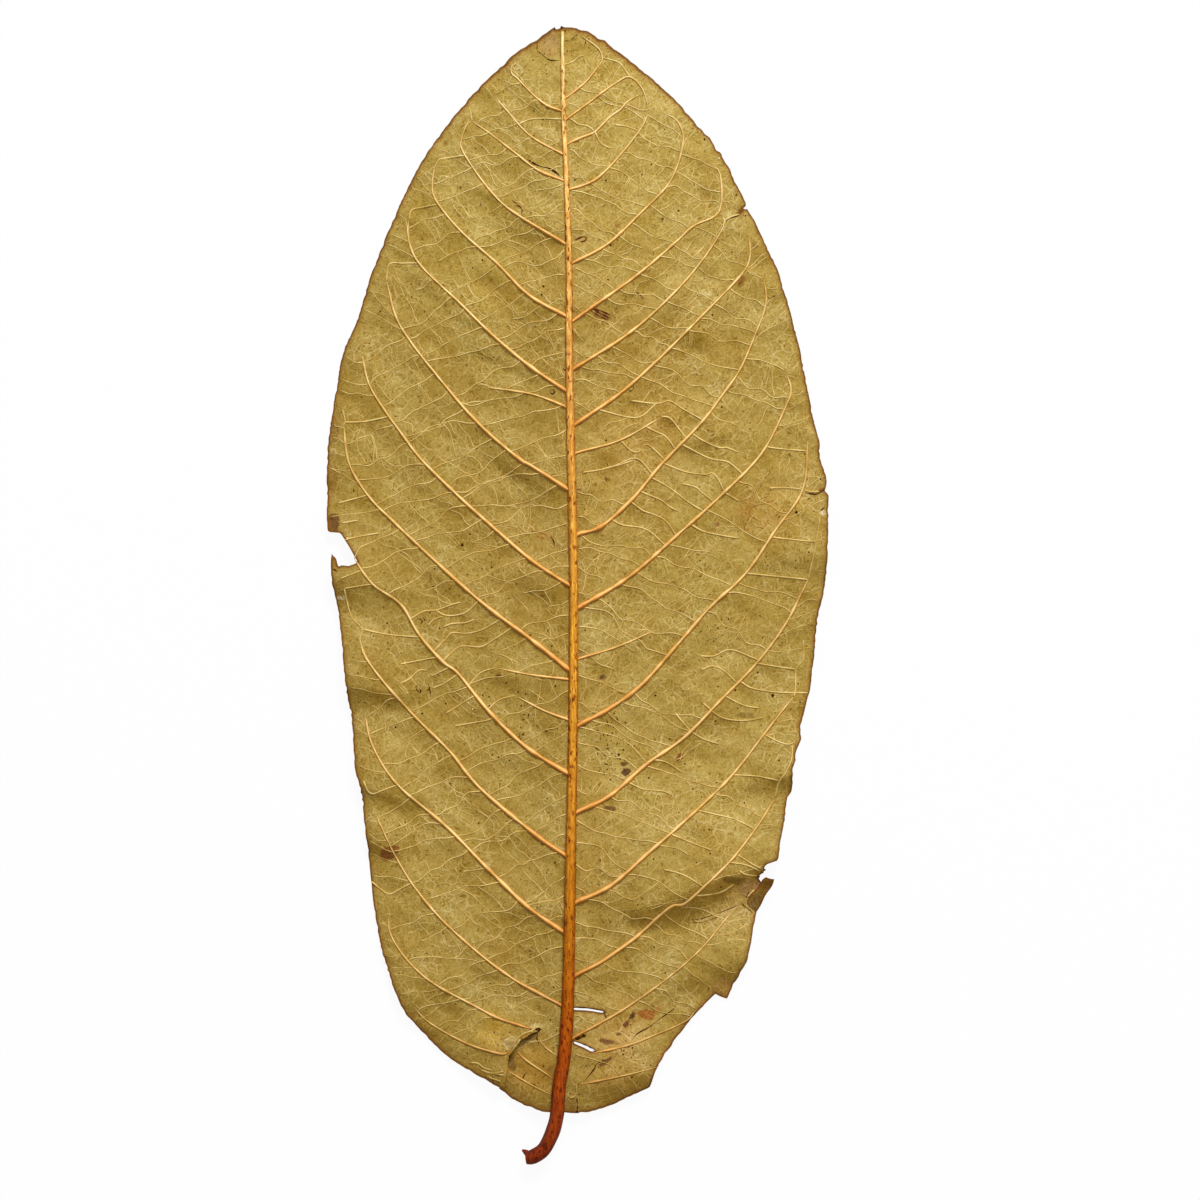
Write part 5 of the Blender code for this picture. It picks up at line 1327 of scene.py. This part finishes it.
def vein_fibre(name, crown_stops, foot, blend, stalk_side_shade):
    """Dried vein: smooth fibrous ridge, cream on its crown and brown at its feet, with a soft sheen.
    crown_stops colour it from the midrib outwards, and the last argument is the tone of painted shade on
    its stalk side, which faces away from the softbox; its tip side gets a painted highlight."""
    material, tree, shader = new_material(name)
    place = node(tree, "TexCoord").outputs["Object"]
    along, across, tipward = (node(tree, "Attribute", attribute_name=name).outputs["Fac"]
                              for name in ("along", "across", "tipward"))
    patchy = node(tree, "TexNoise", {"Vector": place, "Scale": 700.0, "Detail": 3.0}).outputs["Fac"]
    colour = node(tree, "ValToRGB", {"Fac": along}, stops=crown_stops).outputs["Color"]
    uneven = node(tree, "ValToRGB", {"Fac": patchy}, stops=(
        (0.36, (0.8, 0.72, 0.54, 1)), (0.64, (1.14, 1.2, 1.4, 1)))).outputs["Color"]
    # Painted shade on the stalk side of each vein, which faces away from the softbox, and painted highlight
    # on its tip side.
    side = node(tree, "MapRange", {"Value": tipward, "From Min": -1.0}).outputs["Result"]
    side_light_and_shade = node(tree, "ValToRGB", {"Fac": side}, stops=(
        (0.0, (*stalk_side_shade, 1)), (1.0, (0.98, 0.88, 0.66, 1)), (0.3, (*np.sqrt(stalk_side_shade), 1)),
        (0.5, (1.02, 0.93, 0.74, 1)), (0.72, (1.16, 1.18, 1.18, 1)))).outputs["Color"]
    # Veins near the stalk are hardly paler than the blade, and those near the tip are the palest.
    by_place = node(tree, "ValToRGB", {"Fac": along_leaf(tree, place)}, stops=(
        (0.08, (0.72, 0.69, 0.58, 1)), (0.94, (1.02, 1.12, 1.28, 1)), (0.115, (0.76, 0.76, 0.7, 1)),
        (0.15, (0.84, 0.86, 0.84, 1)), (0.2, WHITE), (0.5, WHITE),
        (0.7, (1.05, 1.09, 1.13, 1)))).outputs["Color"]
    for tone in (uneven, side_light_and_shade, by_place):
        colour = node(tree, "Mix", {"Factor": 1.0, 6: colour, 7: tone}, **MULTIPLY).outputs[2]
    foot_share = node(tree, "MapRange", {"Value": across, "From Min": 0.35, "From Max": 1.0,
                                         "To Max": blend}).outputs["Result"]
    colour = node(tree, "Mix", {"Factor": foot_share, 6: colour, 7: foot}, **BLEND).outputs[2]
    bump = node(tree, "Bump", {"Strength": 0.5, "Distance": 0.00006, "Height": patchy})
    fill(tree, shader, {"Base Color": colour, "Normal": bump.outputs["Normal"], "Roughness": 0.5,
                        "Specular IOR Level": 0.14})
    return material


def rib_fibre():
    """Dried midrib and stalk: long fibres, straw yellow at the tip, orange in the middle and red-brown
    on the stalk, with a soft sheen."""
    material, tree, shader = new_material("dried_midrib_fibre")
    place = node(tree, "TexCoord").outputs["Object"]
    colour = node(tree, "ValToRGB", {"Fac": along_leaf(tree, place)}, stops=(
        (0.0, linear("702404")), (0.98, linear("FFE496")), (0.045, linear("9E4007")),
        (0.09, linear("A44804")), (0.145, linear("B86104")), (0.22, linear("C87E14")),
        (0.31, linear("DA942A")), (0.46, linear("E4A02E")), (0.6, linear("EEAE48")),
        (0.7, linear("F8BA5E")), (0.82, linear("F6BE60")), (0.93, linear("FFD27C")),
    )).outputs["Color"]
    fibre_place, lens_place, fleck_place = (
        node(tree, "Mapping", {"Vector": place, "Scale": (1.0, squeeze, 1.0)}).outputs[0]
        for squeeze in (0.12, 0.3, 0.42))
    fibres = node(tree, "TexNoise", {"Vector": fibre_place, "Scale": 5200.0, "Detail": 3.0,
                                     "Roughness": 0.65}).outputs["Fac"]
    tone = node(tree, "ValToRGB", {"Fac": fibres}, stops=(
        (0.34, (0.7, 0.52, 0.28, 1)), (0.66, (1.24, 1.32, 1.5, 1)))).outputs["Color"]
    # Lens-shaped scars up to three quarters of a millimetre long: dark inside, with a pale lip
    cells = node(tree, "TexVoronoi", {"Vector": lens_place, "Scale": 2300.0}, **FLAT_CELLS)
    drawn = node(tree, "SeparateColor", {0: cells.outputs["Color"]}).outputs[0]
    size = node(tree, "MapRange", {"Value": drawn, "To Min": -0.35, "To Max": 0.26}).outputs["Result"]
    depth = node(tree, "Math", {0: size, 1: cells.outputs["Distance"]}, operation="SUBTRACT").outputs[0]
    placed = node(tree, "Math", {0: depth, 1: 0.5}, operation="ADD").outputs[0]
    scar = node(tree, "ValToRGB", {"Fac": placed}, stops=(
        (0.4, WHITE), (0.58, (0.4, 0.24, 0.14, 1)), (0.45, (1.12, 1.18, 1.25, 1)),
        (0.49, (1.0, 0.95, 0.9, 1)))).outputs["Color"]
    for tone in (tone, scar):
        colour = node(tree, "Mix", {"Factor": 1.0, 6: colour, 7: tone}, **MULTIPLY).outputs[2]
    # Short dark flecks and pale scars, 0.4 to 0.8 mm long, where the skin over the fibres has burst
    for scale, low, high, tone in ((2900.0, 0.58, 0.66, (0.45, 0.3, 0.2, 1)),
                                   (2300.0, 0.6, 0.7, (1.35, 1.5, 1.9, 1))):
        field = node(tree, "TexNoise", {"Vector": fleck_place, "Scale": scale, "Detail": 1.5})
        fleck = node(tree, "MapRange", {"Value": field.outputs["Fac"], "From Min": low,
                                        "From Max": high}).outputs["Result"]
        colour = node(tree, "Mix", {"Factor": fleck, 6: colour, 7: tone}, **MULTIPLY).outputs[2]
    # Painted shade: its flanks, which turn away from the light, are darkened.
    flank = node(tree, "Attribute", attribute_name="flank").outputs["Fac"]
    aside = node(tree, "Math", {0: flank}, operation="ABSOLUTE").outputs[0]
    shaded = node(tree, "MapRange", {"Value": aside, "From Min": 0.45, "From Max": 0.95,
                                     "To Max": 0.9}).outputs["Result"]
    colour = node(tree, "Mix", {"Factor": shaded, 6: colour, 7: (0.5, 0.34, 0.16, 1)},
                  **MULTIPLY).outputs[2]
    bump = node(tree, "Bump", {"Strength": 0.5, "Distance": 0.0001, "Height": fibres})
    fill(tree, shader, {"Base Color": colour, "Normal": bump.outputs["Normal"], "Roughness": 0.5,
                        "Specular IOR Level": 0.10})
    return material


def uneven_tissue(name, code):
    """Dead tissue, matt and uneven: brown in cracks, scars and gland dots and in lines of painted shadow,
    orange-brown in curls of skin, cream in crumbs."""
    material, tree, shader = new_material(name)
    place = node(tree, "TexCoord").outputs["Object"]
    uneven = node(tree, "TexNoise", {"Vector": place, "Scale": 2500.0, "Detail": 2.0})
    tone = node(tree, "MapRange", {"Value": uneven.outputs["Fac"], "To Min": 0.5, "To Max": 1.6})
    colour = node(tree, "Mix", {"Factor": 1.0, 6: linear(code), 7: tone.outputs["Result"]}, **MULTIPLY)
    fill(tree, shader, {"Base Color": colour.outputs[2], "Roughness": 0.9, "Specular IOR Level": 0.0})
    return material


def make_marks(name, marks, material, veins):
    """Low ridges along lines: their half-width is a parabola of the way along them, times a sine."""
    lines = [evenly(smooth_curve(points, 0.2), MARK_STEP) for _, points in marks]
    widths, heights = [], []
    for (half, _), line in zip(marks, lines):
        t = np.linspace(0, 1, len(line))
        uneven = 0.8 + 0.4 * np.sin(9 * t + line[0, 0])
        widths.append(half * np.clip(6 * t * (1 - t), 0.2, 1) * uneven)
        heights.append(np.full(len(line), MARK_HEIGHT))
    points, faces, _ = carried_ridges(lines, widths, heights, veins)
    put_in_scene(name, points, faces, [material])


def low_domes(name, x, y, radius, stretch, turn, material, veins):
    """Low domes on the blade, one for each point: a sunk ellipse with half-axes of the radius and the
    radius times the stretch, turned in plan, and a smaller raised one that carries a flat top."""
    sides = SPECK_SIDES
    angle = np.arange(sides) * 2 * math.pi / sides
    rings = []
    for reach, lift in ((1.0, -0.3), (0.7, 0.25)):
        u = reach * radius[:, None] * np.cos(angle)
        v = reach * (radius * stretch)[:, None] * np.sin(angle)
        px = x[:, None] + u * np.cos(turn)[:, None] - v * np.sin(turn)[:, None]
        py = y[:, None] + u * np.sin(turn)[:, None] + v * np.cos(turn)[:, None]
        base = blade_top(x, y, veins)[:, None] + lift * radius[:, None]
        rings.append(np.stack([px, py, np.broadcast_to(base, px.shape)], -1))
    points = np.stack(rings, 1).reshape(-1, 3)
    start = np.arange(len(x))[:, None] * 2 * sides
    k = np.arange(sides)
    following = (k + 1) % sides
    walls = np.stack([start + k, start + following, start + sides + following, start + sides + k], -1)
    put_in_scene(name, points, [walls.reshape(-1, 4), start + sides + k, start + k[::-1]], [material])


def make_specks(margin, veins):
    """Gland dots strewn over the blade and crowded in a few places, and a few pale crumbs."""
    draws = np.random.default_rng(77)
    x = draws.uniform(-HALF_WIDTH, HALF_WIDTH, SPECK_DRAWS)
    y = draws.uniform(-HALF_LENGTH, HALF_LENGTH, SPECK_DRAWS)
    keep = ripple(x, y, 11.0, 41) + draws.normal(0, 0.7, SPECK_DRAWS) > 0.45
    x, y = x[keep], y[keep]
    for cx, cy, reach, count in SPECK_CROWDS:
        x = np.concatenate([x, draws.normal(cx, reach / 2, count)])
        y = np.concatenate([y, draws.normal(cy, reach / 2, count)])
    keep = inside(x, y, margin) & (near_lines(x, y, [margin], 1.0) > SPECK_MARGIN)
    x, y = x[keep][:MOST_SPECKS], y[keep][:MOST_SPECKS]
    radius = SPECK_RADIUS[0] + (SPECK_RADIUS[1] - SPECK_RADIUS[0]) * draws.random(len(x)) ** 2
    stretch = draws.uniform(0.35, 1.0, len(x))
    marked, crumbs = np.array(MARKED_SPECKS), np.array(CRUMBS)
    x, y, radius = (np.concatenate(pair) for pair in zip((x, y, radius), marked.T))
    stretch = np.concatenate([stretch, np.full(len(marked), 0.9)])
    turn = draws.uniform(0, math.pi, len(x))
    low_domes("gland_specks", x, y, radius, stretch, turn, uneven_tissue("dark_gland_dots", "46290A"), veins)
    low_domes("pale_crumbs", *crumbs.T, np.full(len(crumbs), 0.8), np.arange(len(crumbs)),
              uneven_tissue("pale_crumbs", "F0DCA4"), veins)


def make_tab(veins):
    """The tab: rows run from its root to its tip, columns from the inner to the outer edge. It stands on
    the blade at its inner edge, and rises over a quarter round towards the outer one."""
    rows, columns = TAB_GRID
    u, v = np.linspace(0, 1, rows), np.linspace(0, 1, columns)
    inner, outer = (evenly(smooth_curve(edge, 0.1), 0.1) for edge in (TAB_INNER, TAB_OUTER))
    inner, outer = (points_at(line, np.arange(len(line)), u * (len(line) - 1)) for line in (inner, outer))
    plan = inner[:, None] * (1 - v)[None, :, None] + outer[:, None] * v[None, :, None]
    plan[..., 0] += TAB_WAVER * np.sin(9 * u)[:, None] * v
    foot = blade_top(inner[:, 0], inner[:, 1], veins) - TAB_ROOT * np.clip(1 - u / TAB_ROOT_SHARE, 0, 1)
    rise = TAB_RISE * u**TAB_RISE_POWER
    height = foot[:, None] + 0.03 + rise[:, None] * np.sin(v * math.pi / 2)
    points, faces = closed_sheet(np.dstack([plan, np.minimum(height, TAB_TOP)]), TAB_THICKNESS)
    codes = np.array([linear(code) for _, code in TAB_COLOURS])
    shares = [share for share, _ in TAB_COLOURS]
    tone = np.column_stack([np.interp(u, shares, codes[:, k]) for k in range(4)])
    broad = np.linalg.norm(outer - inner, axis=1)[:, None]
    from_side, from_tip = np.minimum(v, 1 - v) * broad, (1 - u)[:, None] * TAB_LENGTH
    attributes = {"tint": np.tile(np.repeat(tone, columns, axis=0), (2, 1)),
                  "edge": np.tile(np.minimum(from_side, from_tip).ravel(), 2),
                  "stain_and_shade": np.tile((0.0, 0.0, 0.0, NO_STAIN_OR_SHADE), (len(points), 1))}
    lamina = dried_lamina("browned_curled_tissue", 1.0, 0.8)
    put_in_scene("curled_tab", points, faces, [lamina], attributes=attributes, sharp=60)


# ---- pieces
def make_lateral_veins(veins):
    """Laterals and minor veins. Half-width and height go from their first to their second value along
    each vein. They are less at its end, at a start away from the midrib, and under the midrib."""
    crown = ((0.0, linear("ECA856")), (1.0, linear("E0C07A")), (0.18, linear("F4C276")),
             (0.45, linear("F0CA80")), (0.7, linear("ECCC84")))
    # The last argument is the painted shade of each vein's stalk side.
    fibre = vein_fibre("dried_lateral_vein", crown, linear("A0601A"), 0.85, (0.62, 0.36, 0.1))
    lines = veins.laterals + veins.minor
    widths, heights = [], []
    for index, line in enumerate(lines):
        lateral = index < len(veins.laterals)
        t = np.linspace(0, 1, len(line))
        length = len(line) * VEIN_STEP
        from_rib = np.abs(line[:, 0] - midrib_x(line[:, 1]))
        size = np.clip((1 - t) * length / END_TAPER, 0.15, 1)
        if lateral:
            size = size * np.interp(line[0, 1], *VEIN_SIZES)
        if from_rib[0] > 0.1:
            size = size * np.clip(t * length / START_TAPER, 0.2, 1)
        size = size * np.clip(0.6 + from_rib / 2, 0, 1)
        size = size * (1 + VEIN_UNEVEN * ripple(line[:, 0], line[:, 1], VEIN_UNEVEN_PITCH, 51))
        width = LATERAL_HALF_WIDTH if lateral else MINOR_HALF_WIDTH
        height = LATERAL_HEIGHT if lateral else MINOR_HEIGHT
        widths.append((width[0] + (width[1] - width[0]) * t**VEIN_TAPER) * size)
        heights.append((height[0] + (height[1] - height[0]) * t**VEIN_TAPER) * size)
    points, faces, attributes = carried_ridges(lines, widths, heights, veins)
    put_in_scene("lateral_veins", points, faces, [fibre], attributes=attributes)


def make_cross_veins(veins):
    """Cross veins and links. They are thinnest in their middle, taper at both ends, and the known ones
    are larger."""
    # The last argument is the painted shade of each vein's stalk side.
    fibre = vein_fibre("dried_cross_vein", ((0.0, linear("DEC07A")), (1.0, linear("D0B874"))),
                       linear("A67E2C"), 0.75, (0.84, 0.66, 0.3))
    lines = veins.crossing + veins.links
    widths, heights = [], []
    for index, line in enumerate(lines):
        t = np.linspace(0, 1, len(line))
        size = 0.62 + 0.38 * np.abs(2 * t - 1) ** 1.5 + KNOWN_BOOST * (index < veins.known_count)
        size *= np.clip(np.minimum(t * len(line) + 0.4, (1 - t) * len(line) / 2 + 0.3), 0, 1)
        weak = index >= len(veins.crossing)
        widths.append((LINK_HALF_WIDTH if weak else CROSS_HALF_WIDTH) * size)
        heights.append((LINK_HEIGHT if weak else CROSS_HEIGHT) * size)
    points, faces, attributes = carried_ridges(lines, widths, heights, veins)
    put_in_scene("cross_veins", points, faces, [fibre], attributes=attributes)


def make_midrib(veins):
    """The midrib and the stalk as one tube, with the small spur at the stalk's cut end as another."""
    points, faces, flank = tube(rib_path(MIDRIB, RIB_STEP, veins), RIB_SIDES, rib_section)
    spur_points, spur_faces, spur_flank = tube(rib_path(SPUR, SPUR_STEP, veins), RIB_SIDES, rib_section)
    faces += [f + len(points) for f in spur_faces]
    put_in_scene("midrib_and_stalk", np.vstack([points, spur_points]), faces, [rib_fibre()],
                 attributes={"flank": np.concatenate([flank, spur_flank])}, sharp=50)


def make_leaf():
    """All pieces of the leaf."""
    margin = margin_loop()
    veins = Veins(margin)
    sides = [dried_lamina("dried_leaf_underside", 1.0, 1.0),
             dried_lamina("dried_leaf_upper_side", 0.72, 0.35)]
    blade_piece("blade_left", -1, margin, veins, sides)
    blade_piece("blade_right", 1, margin, veins, sides)
    make_lateral_veins(veins)
    make_cross_veins(veins)
    make_marks("dry_cracks_and_painted_shadow_lines", CRACKS_AND_SHADOW_LINES, uneven_tissue("dead_tissue_in_cracks_and_painted_shadow", "442408"), veins)
    make_marks("brown_scars", SCARS, uneven_tissue("red_brown_scar_tissue", "62301A"), veins)
    make_marks("skin_curls", CURLS, uneven_tissue("lifted_orange_brown_skin", "9A6230"), veins)
    make_specks(margin, veins)
    make_tab(veins)
    make_midrib(veins)


# ---- stage, light and camera
VIEW_WIDTH = 133.33  # what the picture takes in at the blade's height
LENS = 100.0
SENSOR = 36.0
VIEW_CENTRE = (2.56, -0.56)
BLADE_LEVEL = 1.2
TABLE_REACH = 3.0  # metres
TABLE_DROP = 0.00005
TABLE_GLOW = 0.94  # how much of the table's colour, as the camera sees it, is plain white
AMBIENT = 0.38  # light of the white room on the leaf
KEY_SHARE = 0.62  # light of the softbox on a flat face
KEY_DISTANCE = 1.15  # metres
KEY_HEIGHT = 37.0  # degrees above the table
KEY_TURN = 14.0  # degrees from the tip's side towards +X
SOFTBOX = (0.5, 0.35)  # metres


def make_stage():
    """A matt white board that the camera sees as nearly plain white, with the leaf's shadow on it."""
    material, tree, shader = new_material("matt_white_board")
    fill(tree, shader, {"Base Color": grey(0.95), "Roughness": 1.0, "Specular IOR Level": 0.0})
    seen = node(tree, "LightPath").outputs["Is Camera Ray"]
    share = node(tree, "Math", {0: seen, 1: TABLE_GLOW}, operation="MULTIPLY").outputs[0]
    glow = node(tree, "Emission", {"Color": WHITE, "Strength": 1.0})
    mixed = node(tree, "MixShader", {0: share, 1: shader.outputs[0], 2: glow.outputs[0]})
    fill(tree, tree.nodes["Material Output"], {"Surface": mixed.outputs[0]})
    corners = [(x * TABLE_REACH, y * TABLE_REACH, -TABLE_DROP)
               for x, y in ((-1, -1), (1, -1), (1, 1), (-1, 1))]
    data = bpy.data.meshes.new("table")
    data.from_pydata(corners, [], [(0, 1, 2, 3)])
    data.materials.append(material)
    table = bpy.data.objects.new("table", data)
    bpy.context.scene.collection.objects.link(table)


def make_light():
    """A dim white room, which the camera and mirrors see at full white, and one softbox from the tip."""
    world = bpy.data.worlds.new("studio")
    bpy.context.scene.world = world
    world.use_nodes = True
    tree = world.node_tree
    rays = node(tree, "LightPath")
    seen = node(tree, "Math", {0: rays.outputs["Is Camera Ray"], 1: rays.outputs["Is Glossy Ray"]},
                operation="MAXIMUM").outputs[0]
    seen = node(tree, "Math", {0: seen, 1: rays.outputs["Is Transmission Ray"]},
                operation="MAXIMUM").outputs[0]
    strength = node(tree, "MapRange", {"Value": seen, "To Min": AMBIENT, "To Max": 1.0})
    fill(tree, tree.nodes["Background"], {"Color": WHITE, "Strength": strength.outputs["Result"]})
    lamp = bpy.data.lights.new("softbox", "AREA")
    lamp.shape = "RECTANGLE"
    lamp.size, lamp.size_y = SOFTBOX
    # A flat face under a softbox of this power gets KEY_SHARE of white.
    lamp.energy = KEY_SHARE * (math.pi * KEY_DISTANCE) ** 2 / math.sin(math.radians(KEY_HEIGHT))
    key = bpy.data.objects.new("softbox", lamp)
    height, turn = math.radians(KEY_HEIGHT), math.radians(KEY_TURN)
    way = Vector((math.cos(height) * math.sin(turn), math.cos(height) * math.cos(turn), math.sin(height)))
    key.location = way * KEY_DISTANCE
    key.rotation_euler = way.to_track_quat("Z", "Y").to_euler()
    bpy.context.scene.collection.objects.link(key)


def make_camera():
    """A camera straight above the leaf that takes in VIEW_WIDTH at the blade's level."""
    data = bpy.data.cameras.new("camera")
    data.sensor_width = SENSOR
    data.lens = LENS
    camera = bpy.data.objects.new("camera", data)
    distance = VIEW_WIDTH * LENS / SENSOR
    camera.location = (VIEW_CENTRE[0] * MM, VIEW_CENTRE[1] * MM, (distance + BLADE_LEVEL) * MM)
    bpy.context.scene.collection.objects.link(camera)
    bpy.context.scene.camera = camera


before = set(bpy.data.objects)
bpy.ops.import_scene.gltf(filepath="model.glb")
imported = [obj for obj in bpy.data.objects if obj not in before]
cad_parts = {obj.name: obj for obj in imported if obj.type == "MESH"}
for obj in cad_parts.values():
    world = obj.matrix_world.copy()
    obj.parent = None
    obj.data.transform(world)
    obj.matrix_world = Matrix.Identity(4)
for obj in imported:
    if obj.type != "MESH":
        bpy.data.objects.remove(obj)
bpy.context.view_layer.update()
bpy.context.scene.view_settings.view_transform = "Standard"
make_leaf()
make_stage()
make_light()
make_camera()
